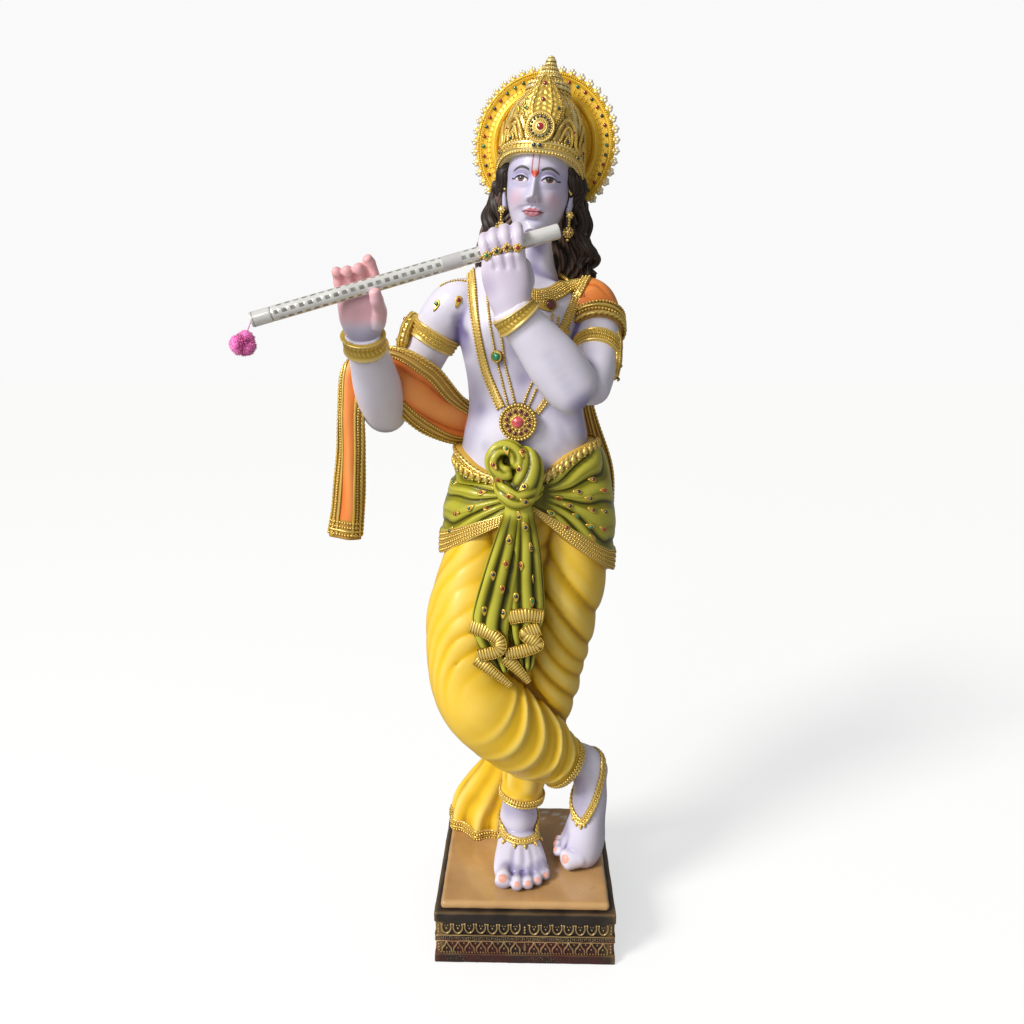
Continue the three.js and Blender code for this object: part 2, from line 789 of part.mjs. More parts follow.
keep(strand(onTorso([[0.6, 434], [0.9, 405], [1.15, 375], [1.45, 352]]), 2.2));

// Round settings with a flat seat, each for a domed glass stone [name, radius, frame]
const outward = (point, normal) =>
  new THREE.Matrix4().compose(
    point,
    new THREE.Quaternion().setFromUnitVectors(new THREE.Vector3(0, 0, 1), normal.clone().normalize()),
    new THREE.Vector3(1, 1, 1),
  );
const onChest = (angle, z, lift) => {
  const t = torso.level(z);
  const p = torso.spot(t, angle, lift);
  return outward(p, torso.spot(t, angle, lift + 1).sub(p));
};
const faceOut = new THREE.Matrix4().makeRotationX(Math.PI / 2);
const stones = [];
function jewel(name, seatRadius, seatDepth, stoneRadius, frame, sides) {
  const [top, bottom, tall] = [seatRadius * 0.92, seatRadius, seatDepth].map((v) => v * unit);
  const seat = new THREE.CylinderGeometry(top, bottom, tall, sides);
  seat.rotateX(Math.PI / 2).translate(0, 0, -tall / 2);
  keep({ geometry: seat.applyMatrix4(frame) });
  stones.push([name, stoneRadius, frame]);
}
const flatFront = (x, y, z) => {
  const p = at(x, y, z);
  return new THREE.Matrix4().makeTranslation(p.x, p.y, p.z).multiply(faceOut);
};
const largeStone = stoneDiameter / 2;
jewel("stone_pendant", 12.5, 8, largeStone * 1.3, flatFront(-6, -30, 345), 12);
jewel("stone_crown", 8.5, 4, largeStone * 0.8, headPlace(1, -29.4, 30.6).multiply(faceOut), 8);
jewel("stone_collar", 4.5, 5, largeStone, onChest(1.22, 418, 3.4), 6);
jewel("stone_necklace", 4.2, 5, largeStone * 0.9, onChest(1.95, 388, 3.2), 6);
keep(band(ankleLeft, 0.42, 0.6, 2));
keep(band(footRight, (a) => 0.42 + 0.1 * Math.cos(a), (a) => 0.47 + 0.1 * Math.cos(a), 1.6));

// The flute lies in the grips of both hands
const fluteNear = at(18.8, -50, 462.2);
const fluteFar = at(-161.8, -78, 409.8);
const fluteTurn = new THREE.Quaternion().setFromUnitVectors(
  new THREE.Vector3(0, 0, 1),
  fluteFar.clone().sub(fluteNear).normalize(),
);
const fluteMatrix = new THREE.Matrix4().compose(fluteNear, fluteTurn, new THREE.Vector3(1, 1, 1));
const boreRadius = fluteDiameter / 2 + fluteGrip;
const bore = new THREE.CylinderGeometry(boreRadius, boreRadius, fluteLength * 1.4, 12);
bore.rotateX(Math.PI / 2).translate(0, 0, fluteLength / 2);

// Soles and trailing hem are flat where they stand on the plinth
const below = new THREE.BoxGeometry(4 * plinthSide, 4 * plinthSide, plinthHeight);
below.translate(0, 0, plinthHeight / 2 + touchGap);
const figureSolid = fuse(shapes).subtract(toSolid(below)).subtract(toSolid(bore, fluteMatrix));

const tubeShape = new THREE.Shape().absarc(0, 0, fluteDiameter / 2, 0, full);
tubeShape.holes.push(new THREE.Path().absarc(0, 0, fluteDiameter / 2 - fluteWall, 0, full, true));
const fluteTube = new THREE.ExtrudeGeometry(tubeShape, {
  depth: fluteLength,
  bevelEnabled: false,
  curveSegments: 8,
});

// Plinth: a carved block with a slab on top
const coreSide = plinthSide - 2 * ledge;
const darkHeight = plinthHeight - slabHeight;
const block = (width, height, z) => {
  const box = new THREE.BoxGeometry(width, width, height);
  return toSolid(box.translate(0, 0, z + height / 2));
};
const slabSide = plinthSide - 2 * slabInset;
const slab = new THREE.CylinderGeometry(
  (slabSide - 2 * slabRound) / Math.SQRT2,
  slabSide / Math.SQRT2,
  slabRound,
  4,
);
slab.rotateX(Math.PI / 2).rotateZ(Math.PI / 4).translate(0, 0, plinthHeight - slabRound / 2);
const plinthParts = [
  block(coreSide, darkHeight - 1, 0.5),
  block(plinthSide, footHeight, 0),
  block(plinthSide, lipHeight, darkHeight - lipHeight),
  block(slabSide, slabHeight - slabRound + 1, darkHeight - 1),
  toSolid(slab),
];
const carved = darkHeight - footHeight - lipHeight;
const rowHeight = (carved - midBandHeight) / 2;
const midBand = footHeight + rowHeight;
plinthParts.push(block(plinthSide - ledge, midBandHeight, midBand));
const rowLength = coreSide - 2;
const archPitch = rowLength / archCount;
// A row of arches as one strip: the outline steps along `edge`, once for each arch
const archRow = (base, edge) => {
  const outline = [new THREE.Vector2(rowLength / 2, base), new THREE.Vector2(-rowLength / 2, base)];
  for (let i = 0; i < archCount; i++) {
    edge.forEach(([x, y]) => {
      outline.push(new THREE.Vector2((i + x) * archPitch - rowLength / 2, y * rowHeight));
    });
  }
  if (base < 0) outline.reverse();
  return new THREE.ExtrudeGeometry(new THREE.Shape(outline), { depth: archProud + 0.5, bevelEnabled: false });
};
const hanging = archRow(rowHeight + 0.3, [
  [0, 0.62],
  [0.24, 0.16],
  [0.76, 0.16],
]);
const pointed = archRow(-0.3, [
  [0, 0.3],
  [0.5, 0.92],
]);
for (let turn = 0; turn < 4; turn++) {
  const facing = new THREE.Matrix4().makeRotationZ((turn * Math.PI) / 2);
  const stand = new THREE.Matrix4().makeRotationX(Math.PI / 2);
  for (const [row, z] of [
    [hanging, midBand + midBandHeight],
    [pointed, footHeight],
  ]) {
    const move = new THREE.Matrix4().makeTranslation(0, -coreSide / 2 + 0.5, z);
    plinthParts.push(toSolid(row, facing.clone().multiply(move).multiply(stand)));
  }
}
const plinthSolid = fuse(plinthParts);

// Pompon: a ball of wool hanging from the flute's far end by a short thread
const fluteEnd = new THREE.Vector3(0, 0, fluteLength).applyMatrix4(fluteMatrix);
const threadReach = touchGap + threadShown + pomponDiameter / 2; // from the tube to the ball's centre
const hang = new THREE.Vector3(-0.39, 0, -0.92).normalize().multiplyScalar(fluteDiameter / 2 + threadReach);
const ballCentre = fluteEnd.clone().add(hang);
const wool = new THREE.IcosahedronGeometry(pomponDiameter / 2, 2);
const woolPlace = wool.attributes.position;
for (let i = 0; i < woolPlace.count; i++) {
  const p = new THREE.Vector3().fromBufferAttribute(woolPlace, i);
  p.multiplyScalar(1 + 0.07 * Math.sin(1.3 * p.x + 1) * Math.sin(1.1 * p.y) * Math.sin(1.2 * p.z + 2));
  woolPlace.setXYZ(i, p.x, p.y, p.z);
}
const threadLength = threadReach - touchGap - threadDiameter / 2;
const thread = new THREE.CylinderGeometry(threadDiameter / 2, threadDiameter / 2, threadLength, 6);
thread.rotateX(Math.PI / 2).translate(0, 0, threadLength / 2);
const upward = new THREE.Vector3(0, 0, 1);
const threadRun = hang.clone().negate().normalize();
thread.applyQuaternion(new THREE.Quaternion().setFromUnitVectors(upward, threadRun));
const pompon = toSolid(wool).add(toSolid(thread));

// A domed stone, flat behind
const cabochon = (radius) =>
  new THREE.LatheGeometry(
    [
      [0, 0],
      [radius, 0],
      [radius * 0.86, radius * 0.42],
      [0, radius * 0.72],
    ].map(([r, h]) => new THREE.Vector2(r, h)),
    10,
  )
    .rotateX(Math.PI / 2)
    .translate(0, 0, touchGap);

const paint = (color, roughness, metalness = 0) => {
  return new THREE.MeshStandardMaterial({ color, roughness, metalness });
};
const mesh = (name, geometry, material) => {
  const m = new THREE.Mesh(geometry, material);
  m.name = name;
  return m;
};
const model = new THREE.Group();
model.add(mesh("figure", toGeometry(figureSolid), paint(0xb9b4dc, 0.4)));
model.add(mesh("plinth", toGeometry(plinthSolid), paint(0x3a2c25, 0.4)));
const flute = mesh("flute", fluteTube, paint(0xc9cdca, 0.25, 0.9));
flute.position.copy(fluteNear);
flute.quaternion.copy(fluteTurn);
model.add(flute);
const tassel = mesh("pompon", toGeometry(pompon), paint(0xe0459a, 0.95));
tassel.position.copy(ballCentre);
model.add(tassel);
const stoneColours = {
  stone_pendant: 0xd8435c,
  stone_crown: 0xa01822,
  stone_collar: 0x7a0f1c,
  stone_necklace: 0x1c8a55,
};
for (const [name, radius, frame] of stones) {
  const stone = mesh(name, cabochon(radius), paint(stoneColours[name], 0.1));
  stone.applyMatrix4(frame);
  model.add(stone);
}
export default model;
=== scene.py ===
import math

import bpy
import numpy as np
from mathutils import Matrix, Vector
from mathutils.bvhtree import BVHTree


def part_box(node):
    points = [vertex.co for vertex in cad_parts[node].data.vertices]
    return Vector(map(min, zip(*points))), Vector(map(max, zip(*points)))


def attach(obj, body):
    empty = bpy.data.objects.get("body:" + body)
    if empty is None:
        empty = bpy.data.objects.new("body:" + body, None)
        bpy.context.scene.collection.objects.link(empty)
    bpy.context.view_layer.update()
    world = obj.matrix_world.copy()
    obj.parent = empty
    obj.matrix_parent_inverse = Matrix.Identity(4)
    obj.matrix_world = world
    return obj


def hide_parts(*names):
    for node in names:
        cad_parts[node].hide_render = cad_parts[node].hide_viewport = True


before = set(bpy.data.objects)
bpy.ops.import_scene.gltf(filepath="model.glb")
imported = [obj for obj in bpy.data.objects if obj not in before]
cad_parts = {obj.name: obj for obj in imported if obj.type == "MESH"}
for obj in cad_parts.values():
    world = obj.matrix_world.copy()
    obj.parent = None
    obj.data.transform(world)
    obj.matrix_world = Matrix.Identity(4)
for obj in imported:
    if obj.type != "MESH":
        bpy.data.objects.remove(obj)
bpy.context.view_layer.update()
bpy.ops.object.select_all(action="DESELECT")

# Camera: a little above the figure's middle, looking down on the plinth's top.
bpy.ops.object.camera_add(
    location=(0.00227, -0.5742, 0.4509), rotation=(math.radians(77.5), 0, math.radians(1.3))
)
bpy.context.object.data.lens = 28.58
bpy.context.scene.camera = bpy.context.object

# Body: the bare torso, neck and arms of the casting, painted pale lavender. Violet in the creases
# is partly the painter's airbrushing and partly painted shade, and painted shadow lies round the
# neck and across the belly under the left forearm. Each limb is drawn by rings (x, y, z, half
# width, half depth) in millimetres above the plinth's top, and the limbs are fused and their joins
# softened.
MM = 0.001
TURN = 2 * math.pi
FORWARD = 10.5  # the figure stands this far in front of the plinth's middle
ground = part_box("figure")[0][2]
SIDE = np.array((1.0, 0.0, 0.0))
DEPTH = np.array((0.0, 1.0, 0.0))


def place(points):
    return np.asarray(points, float) * MM + (0, -FORWARD * MM, ground)


def along_curve(stops, t, mirrored=True):
    stops = np.asarray(stops, float)
    last = len(stops) - 1
    before = 2 * stops[0] - stops[1] if mirrored else stops[0]
    after = 2 * stops[-1] - stops[-2] if mirrored else stops[-1]
    guided = np.vstack((before, stops, after))
    step = np.clip(t, 0, 1) * last
    i = np.minimum(step.astype(int), last - 1)
    w = (step - i)[..., None]
    a, b, c, d = (guided[i + k] for k in range(4))
    bend = (2 * a - 5 * b + 4 * c - d) + w * (3 * (b - c) + d - a)
    return b + w / 2 * ((c - a) + w * bend)


def turns_of(count, shift=0):
    """Even turns round a circle, shifted by a share of one step."""
    return TURN * (np.arange(count) + shift) / count


def step_up(value, low, high):
    w = np.clip((value - low) / (high - low), 0, 1)
    return w * w * (3 - 2 * w)


def unit(vectors):
    return vectors / np.maximum(np.linalg.norm(vectors, axis=-1, keepdims=True), 1e-12)


class Form:
    """A body, cloth or lock. Height t and angle give a point of its surface. relief raises the
    surface and flow slides it along; both are functions of t and angle."""

    def __init__(self, rings, across=SIDE, square=2.0, relief=None, flow=None, home=place):
        rings = np.asarray(rings, float)
        self.centres = rings[:, :3]
        self.halves = rings[:, 3:]
        self.across = unit(np.asarray(across, float))
        self.square = square
        self.relief = relief
        self.flow = flow
        self.home = home
        self.shares = np.linspace(0, 1, 400)
        self.heights = along_curve(self.centres, self.shares)[:, 2]

    def spot(self, t, angle, lift=0.0, share=1.0):
        t, angle = np.broadcast_arrays(np.asarray(t, float), np.asarray(angle, float))
        s = np.clip(self.flow(t, angle), 0, 1) if self.flow else t
        ahead = along_curve(self.centres, np.clip(s + 0.001, 0, 1))
        run = unit(ahead - along_curve(self.centres, np.clip(s - 0.001, 0, 1)))
        wide = unit(self.across - (run @ self.across)[..., None] * run)
        deep = np.cross(wide, run)
        half = np.maximum(along_curve(self.halves, s, False), 0.3)
        rise = lift + (self.relief(t, angle) if self.relief else 0)
        cos, sin = np.cos(angle), np.sin(angle)
        out_wide = np.sign(cos) * np.abs(cos) ** (2 / self.square) * (half[..., 0] + rise) * share
        out_deep = np.sign(sin) * np.abs(sin) ** (2 / self.square) * (half[..., 1] + rise) * share
        centre = along_curve(self.centres, s)
        return self.home(centre + wide * out_wide[..., None] + deep * out_deep[..., None])

    def outward(self, t, angle):
        return unit(self.spot(t, angle, 1.0) - self.spot(t, angle, 0.0))

    def level(self, z):
        """The t at which the form's middle line is at a height in millimetres."""
        heights, shares = self.heights, self.shares
        if heights[0] > heights[-1]:
            heights, shares = heights[::-1], shares[::-1]
        return np.interp(z, heights, shares)


def points_of(piece):
    points = np.empty(len(piece.data.vertices) * 3)
    piece.data.vertices.foreach_get("co", points)
    return points.reshape(-1, 3)


def normals_of(piece):
    normals = np.empty(len(piece.data.vertices) * 3)
    piece.data.vertex_normals.foreach_get("vector", normals)
    return normals.reshape(-1, 3)


def move_points(piece, points):
    piece.data.vertices.foreach_set("co", np.asarray(points, np.float32).ravel())
    piece.data.update()


def note(piece, name, values):
    """Stores a value for each point of a piece, or one value for all of them."""
    spread = np.empty(len(piece.data.vertices), np.float32)
    spread[:] = values
    piece.data.attributes.new(name, "FLOAT", "POINT").data.foreach_set("value", spread)


def noted(piece, name):
    values = np.empty(len(piece.data.vertices))
    piece.data.attributes[name].data.foreach_get("value", values)
    return values


def make_mesh(name, points, quads, triangles):
    """A closed piece from points in metres, turned so that its normals look outward."""
    a, b, c, d = (points[quads[:, i]] for i in range(4))
    volume = (np.cross(a, b) * c).sum() + (np.cross(a, c) * d).sum()
    a, b, c = (points[triangles[:, i]] for i in range(3))
    volume += (np.cross(a, b) * c).sum()
    if volume < 0:
        quads, triangles = quads[:, ::-1], triangles[:, ::-1]
    mesh = bpy.data.meshes.new(name)
    mesh.vertices.add(len(points))
    mesh.vertices.foreach_set("co", np.asarray(points, np.float32).ravel())
    corners = np.concatenate((quads.ravel(), triangles.ravel())).astype(np.int32)
    sizes = np.concatenate((np.full(len(quads), 4), np.full(len(triangles), 3)))
    mesh.loops.add(len(corners))
    mesh.loops.foreach_set("vertex_index", corners)
    mesh.polygons.add(len(sizes))
    starts = np.concatenate(([0], np.cumsum(sizes)[:-1])).astype(np.int32)
    mesh.polygons.foreach_set("loop_start", starts)
    mesh.update(calc_edges=True)
    piece = bpy.data.objects.new(name, mesh)
    bpy.context.collection.objects.link(piece)
    return piece


def wrap_faces(around, along):
    """Faces over along - 1 rings of points, closed by a first and a last point."""
    ring = np.arange(around)
    ahead = (ring + 1) % around
    rows = 1 + around * np.arange(along - 2)[:, None]
    quads = np.stack((rows + ring, rows + ahead, rows + around + ahead, rows + around + ring), -1)
    top = 1 + around * (along - 2)
    first = np.stack((0 * ring, ahead + 1, ring + 1), -1)
    last = np.stack((0 * ring + top + around, top + ring, top + ahead), -1)
    return quads.reshape(-1, 4), np.concatenate((first, last))


def tube_faces(around, rows):
    """Faces over a closed loop of rings, such as a bangle."""
    ring, start = np.arange(around), np.arange(rows)[:, None] * around
    ahead, after = (ring + 1) % around, np.roll(start, -1, 0)
    quads = np.stack((start + ring, start + ahead, after + ahead, after + ring), -1)
    return quads.reshape(-1, 4), np.zeros((0, 3), int)


def loft(form, around, along, domes=(0, 0), front=None):
    """Points over a form, with their heights t. With front given, the columns crowd there."""
    angle = turns_of(around)
    if front is not None:
        turn = (angle - front + math.pi) % TURN - math.pi
        angle = front + turn - 0.55 * np.sin(turn)
    first, last = (10 if dome else 3 for dome in domes)
    row = np.concatenate(([0], np.repeat(np.arange(1, along), around), [along]))
    angle = np.concatenate(([0], np.tile(angle, along - 1), [0]))
    into = np.clip(row / first, 0, 1)
    left = np.clip((along - row) / last, 0, 1)
    t = domes[0] + (1 - domes[0] - domes[1]) * (row - first) / (along - first - last)
    t = np.where(into < 1, domes[0] * (1 - np.cos(math.pi / 2 * into)), t)
    t = np.where(left < 1, 1 - domes[1] * (1 - np.cos(math.pi / 2 * left)), t)
    share = np.sin(math.pi / 2 * into) * np.sin(math.pi / 2 * left)
    share[[0, -1]] = 0
    return form.spot(t, angle, 0, share), t, angle


def cast(name, form, around, along, domes=(0, 0), front=None):
    points, t, angle = loft(form, around, along, domes, front)
    piece = make_mesh(name, points, *wrap_faces(around, along))
    note(piece, "stretch", t)
    return piece


def choose(*pieces):
    bpy.ops.object.select_all(action="DESELECT")
    for piece in pieces:
        piece.select_set(True)
    bpy.context.view_layer.objects.active = pieces[0]


def finish_mesh(piece):
    choose(piece)
    bpy.ops.object.shade_smooth()


def fuse(name, pieces, voxel, rounds):
    """Casts pieces together: one skin of the voxel size in millimetres, its joins softened."""
    choose(*pieces)
    bpy.ops.object.join()
    whole = bpy.context.object
    whole.name = name
    skin = whole.modifiers.new("one skin", "REMESH")
    skin.mode = "VOXEL"
    skin.voxel_size = voxel * MM
    bpy.ops.object.modifier_apply(modifier=skin.name)
    soften = whole.modifiers.new("soft joins", "SMOOTH")
    soften.factor = 0.5
    soften.iterations = rounds
    bpy.ops.object.modifier_apply(modifier=soften.name)
    finish_mesh(whole)
    return whole


def sculpt(piece, dabs):
    """Raises or presses the surface round points (x, y, z, reach, height) in millimetres."""
    points = points_of(piece)
    normals = normals_of(piece)
    rise = np.zeros(len(points))
    for x, y, z, reach, height in dabs:
        gap = np.linalg.norm(points - place((x, y, z)), axis=1) / MM
        rise += height * np.exp(-((gap / reach) ** 2))
    move_points(piece, points + normals * rise[:, None] * MM)


def stand(piece):
    """Flattens what lies below the plinth's top."""
    points = points_of(piece)
    points[:, 2] = np.maximum(points[:, 2], ground)
    move_points(piece, points)


def note_hollows(piece, rounds):
    """Stores how many millimetres each point lies below the softened surface. The paint lays its
    darker colour where this is high: painted shade on the figure, the dark ground on the plinth.
    """
    points = points_of(piece)
    ends = np.empty(len(piece.data.edges) * 2, np.int64)
    piece.data.edges.foreach_get("vertices", ends)
    a, b = ends.reshape(-1, 2).T
    both, other = np.concatenate((a, b)), np.concatenate((b, a))
    count = np.maximum(np.bincount(both, minlength=len(points)), 1)
    soft = points.copy()
    for _ in range(rounds):
        for axis in range(3):
            total = np.bincount(both, soft[other, axis], len(points))
            soft[:, axis] = total / count
    note(piece, "hollow", ((soft - points) * normals_of(piece)).sum(axis=1) / MM)


def wired(tree, kind, inputs, **settings):
    """A new node with its settings; each input is a socket to link or a value."""
    node = tree.nodes.new(f"ShaderNode{kind}")
    for name, value in settings.items():
        setattr(node, name, value)
    for socket, value in inputs.items():
        if isinstance(value, bpy.types.NodeSocket):
            tree.links.new(value, node.inputs[socket])
        else:
            node.inputs[socket].default_value = value
    return node


def new_finish(name, values):
    """A new material with values on its shader's sockets: the material, its tree, the shader."""
    finish = bpy.data.materials.new(name)
    finish.use_nodes = True
    shader = finish.node_tree.nodes["Principled BSDF"]
    for socket, value in values.items():
        shader.inputs[socket].default_value = value
    return finish, finish.node_tree, shader


def paint_group():
    """Two colours set by a piece's hollow values: a darker one in hollows and on undersides, and a
    lighter one on ridges. On the figure they are painted shade and painted highlight; on the
    plinth's block and carving they are its dark ground and rubbed gold. Faint blotches and a
    gloss that changes a little."""
    group = bpy.data.node_groups.new("hollow and ridge colours", "ShaderNodeTree")
    sockets = (
        ("Paint", "NodeSocketColor", (0.5, 0.5, 0.5, 1)),
        ("Deep", "NodeSocketColor", (0.1, 0.1, 0.1, 1)),
        ("Light", "NodeSocketColor", (0.9, 0.9, 0.9, 1)), ("Reach", "NodeSocketFloat", 0.5),
        ("Blotch", "NodeSocketFloat", 0.1), ("Gloss", "NodeSocketFloat", 0.35)
    )
    for name, kind, value in sockets:
        socket = group.interface.new_socket(name, in_out="INPUT", socket_type=kind)
        socket.default_value = value
    group.interface.new_socket("Color", in_out="OUTPUT", socket_type="NodeSocketColor")
    group.interface.new_socket("Roughness", in_out="OUTPUT", socket_type="NodeSocketFloat")
    given = group.nodes.new("NodeGroupInput").outputs
    made = group.nodes.new("NodeGroupOutput")
    hollow = wired(group, "Attribute", {}, attribute_name="hollow").outputs["Fac"]
    where = wired(group, "TexCoord", {}).outputs["Object"]
    noise = wired(group, "TexNoise", {"Vector": where, "Scale": 55, "Detail": 5}).outputs["Fac"]
    share = wired(group, "Math", {0: hollow, 1: given["Reach"]}, operation="DIVIDE").outputs[0]
    colour = given["Paint"]
    for sign, name in ((1, "Deep"), (-1, "Light")):
        into = wired(group, "Math", {0: share, 1: sign}, operation="MULTIPLY", use_clamp=True)
        layers = {"Factor": into.outputs[0], 6: colour, 7: given[name]}
        colour = wired(group, "Mix", layers, data_type="RGBA").outputs[2]
    spread = {"From Min": 0.3, "From Max": 0.7, "To Min": -0.5, "To Max": 0.5}
    swing = wired(group, "MapRange", {"Value": noise, **spread}).outputs[0]
    amount = {0: swing, 1: given["Blotch"], 2: 1}
    amount = wired(group, "Math", amount, operation="MULTIPLY_ADD").outputs[0]
    shade = wired(group, "HueSaturation", {"Value": amount, "Color": colour})
    group.links.new(shade.outputs[0], made.inputs["Color"])
    gloss = {0: swing, 1: 0.12, 2: given["Gloss"]}
    gloss = wired(group, "Math", gloss, operation="MULTIPLY_ADD").outputs[0]
    group.links.new(gloss, made.inputs["Roughness"])
    return group


painting = paint_group()


def painted(name, paint, deep, light, reach=0.5, blotch=0.1, gloss=0.35, metallic=0.0, coat=0.0):
    values = {"Metallic": metallic, "Coat Weight": coat, "Coat Roughness": 0.15}
    values["Specular IOR Level"] = 0.5 if metallic else 0.3
    finish, tree, shader = new_finish(name, values)
    colours = {"Paint": (*paint, 1), "Deep": (*deep, 1), "Light": (*light, 1)}
    amounts = {"Reach": reach, "Blotch": blotch, "Gloss": gloss}
    hand = wired(tree, "Group", {}, node_tree=painting, name="hand")
    for socket, value in (colours | amounts).items():
        hand.inputs[socket].default_value = value
    tree.links.new(hand.outputs["Color"], shader.inputs["Base Color"])
    tree.links.new(hand.outputs["Roughness"], shader.inputs["Roughness"])
    return finish


def overpaint(finish, mask, colour):
    """Lays one more colour over a painted finish where the piece's own mask says so."""
    tree = finish.node_tree
    base = tree.nodes["Principled BSDF"].inputs["Base Color"]
    where = wired(tree, "Attribute", {}, attribute_name=mask).outputs["Fac"]
    layers = {"Factor": where, 6: base.links[0].from_socket, 7: (*colour, 1)}
    tree.links.new(wired(tree, "Mix", layers, data_type="RGBA").outputs[2], base)


def settle(piece, finish, slot="painted_casting", *nodes):
    """Gives a piece its finish, hangs it on the root body and hides the CAD parts of the nodes that
    it stands for, the figure unless others are named. The slot is not used.
    """
    piece.data.materials.clear()
    piece.data.materials.append(finish)
    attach(piece, "root")
    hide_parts(*(nodes or ("figure",)))


def deepen(piece, gain, shift):
    """Scales and shifts a piece's hollow values, which set how much of its darker colour it gets:
    painted shade on the figure, the dark ground on the plinth.
    """
    hollows = np.asarray(noted(piece, "hollow") * gain + shift, np.float32)
    piece.data.attributes["hollow"].data.foreach_set("value", hollows)


# The lavender paint: its darker colour for hollows is partly the painter's violet and partly
# painted shade, and its lighter colour for ridges is a painted highlight. Masks lay the violet dabs
# and strokes, partly painted shade and shadow, the pink palms and the salmon nails over it.
SKIN, SKIN_VIOLET_AND_SHADE, SKIN_HIGHLIGHT = (0.60, 0.57, 0.72), (0.19, 0.15, 0.37), (0.78, 0.75, 0.88)
skin = painted(
    "lavender skin", SKIN, SKIN_VIOLET_AND_SHADE, SKIN_HIGHLIGHT, reach=1.6, blotch=0.05, gloss=0.36, coat=0.15
)
overpaint(skin, "violet_paint_and_shade", (0.215, 0.185, 0.37))
overpaint(skin, "blush", (0.90, 0.46, 0.48))
overpaint(skin, "nail", (0.86, 0.42, 0.33))

torso = Form([
    (-2, 8, 262, 44, 29), (-2, 7, 290, 46, 30), (-1.5, 4, 318, 45, 28.5), (-1, 2, 336, 42, 27.5),
    (-1, 3, 353, 39.5, 25), (-1.5, 4, 373, 40, 26), (-2, 4, 394, 43.5, 28),
    (-3, 4.5, 412, 45, 28.5), (-2.5, 6, 428, 42, 23), (0, 8, 439, 31, 17), (3, 8, 447, 17, 14),
    (5, 6, 458, 12.5, 12.5), (7, 3, 474, 11.5, 12)
], square=2.2)
right_arm = Form([
    (-28, 6, 422, 15, 14), (-46, 6, 421, 18, 17.5), (-57, 6, 411, 17.4, 17),
    (-66, 7, 397, 16, 15.5), (-78, 9, 377, 15, 15), (-90, 11, 359, 14, 14),
    (-98, 11, 346, 12.5, 12.5)
], across=DEPTH)
right_forearm = Form([
    (-99, 15, 343, 13, 13), (-99.5, 4, 350, 16, 15), (-100.5, -13, 366, 16.4, 15),
    (-101, -29, 382, 14.2, 13), (-102, -44, 396, 12, 10), (-102, -50, 402, 12, 9)
])
left_arm = Form([
    (24, 6, 420, 15, 14), (39, 6, 419, 17.5, 17), (45.5, 0, 409, 17.5, 16.5),
    (45.5, -14, 394, 16.2, 15), (42, -32, 377, 15, 14.5), (36.5, -47, 363, 14, 14)
], across=DEPTH)
left_forearm = Form([
    (37, -48, 361, 13, 13), (29, -51, 368, 17, 16), (17, -56, 384, 17.5, 15),
    (4, -61, 400, 14.5, 12.5), (-7, -65, 413, 12.4, 9.5), (-10, -66, 418, 12.4, 9)
], across=(0.8, 0, 0.6))
limbs = [cast("limb", torso, 100, 110)]
for arm, forearm in ((right_arm, right_forearm), (left_arm, left_forearm)):
    limbs.append(cast("limb", arm, 64, 80, (0, 0.08)))
    limbs.append(cast("limb", forearm, 64, 80, (0.1, 0)))
body = fuse("body", limbs, 1.5, 6)
chest = [
    (-25, -24, 406, 14, 3.6), (18, -25, 406, 14, 3.4), (-41, -18, 390, 5, -1.5),
    (-35, -22, 384, 5, -2.0), (-27, -24, 381.5, 5, -1.9), (-19, -25, 382, 5, -1.7),
    (-42, -12, 400, 5, -1.8), (16, -23, 390, 8, -1.6), (-2, -26, 402, 7, -1.5),
    (-38.5, -23, 395.4, 3.2, 0.9), (-38.5, -23, 395.4, 1.1, 0.7), (-2, -24, 372, 7, -1.2),
    (-14, -24, 362, 10, 0.9), (11, -24, 362, 10, 0.9), (-2, -27, 336, 12, 1.6),
    (-33, -14, 352, 7, -1.2), (31, -14, 352, 7, -1.2), (-37, -8, 336, 9, 1.6),
    (36, -8, 334, 9, 1.6), (28, -22, 352, 3.5, -1.1), (5, -9, 447, 4, -1.4),
    (-14, -11, 436, 6, 1.2), (20, -11, 436, 6, 1.2), (27, -57, 380, 4, -1.8),
    (-93, -6, 366, 4, -1.2)
]
sculpt(body, chest)
note_hollows(body, 100)


def near(points, centre, radius):
    """1 at a point given in millimetres, fading to 0 at the radius."""
    return 1 - step_up(np.linalg.norm(points - place(centre), axis=1) / MM, 0.2 * radius, radius)


def airbrushed_shade(points, strokes, shade):
    """Lays shadows along short strokes (stops, radius, strength) over a mask."""
    for stops, radius, share in strokes:
        for spot in along_curve(stops, np.linspace(0, 1, 9)):
            shade = np.maximum(shade, share * near(points, spot, radius))
    return shade
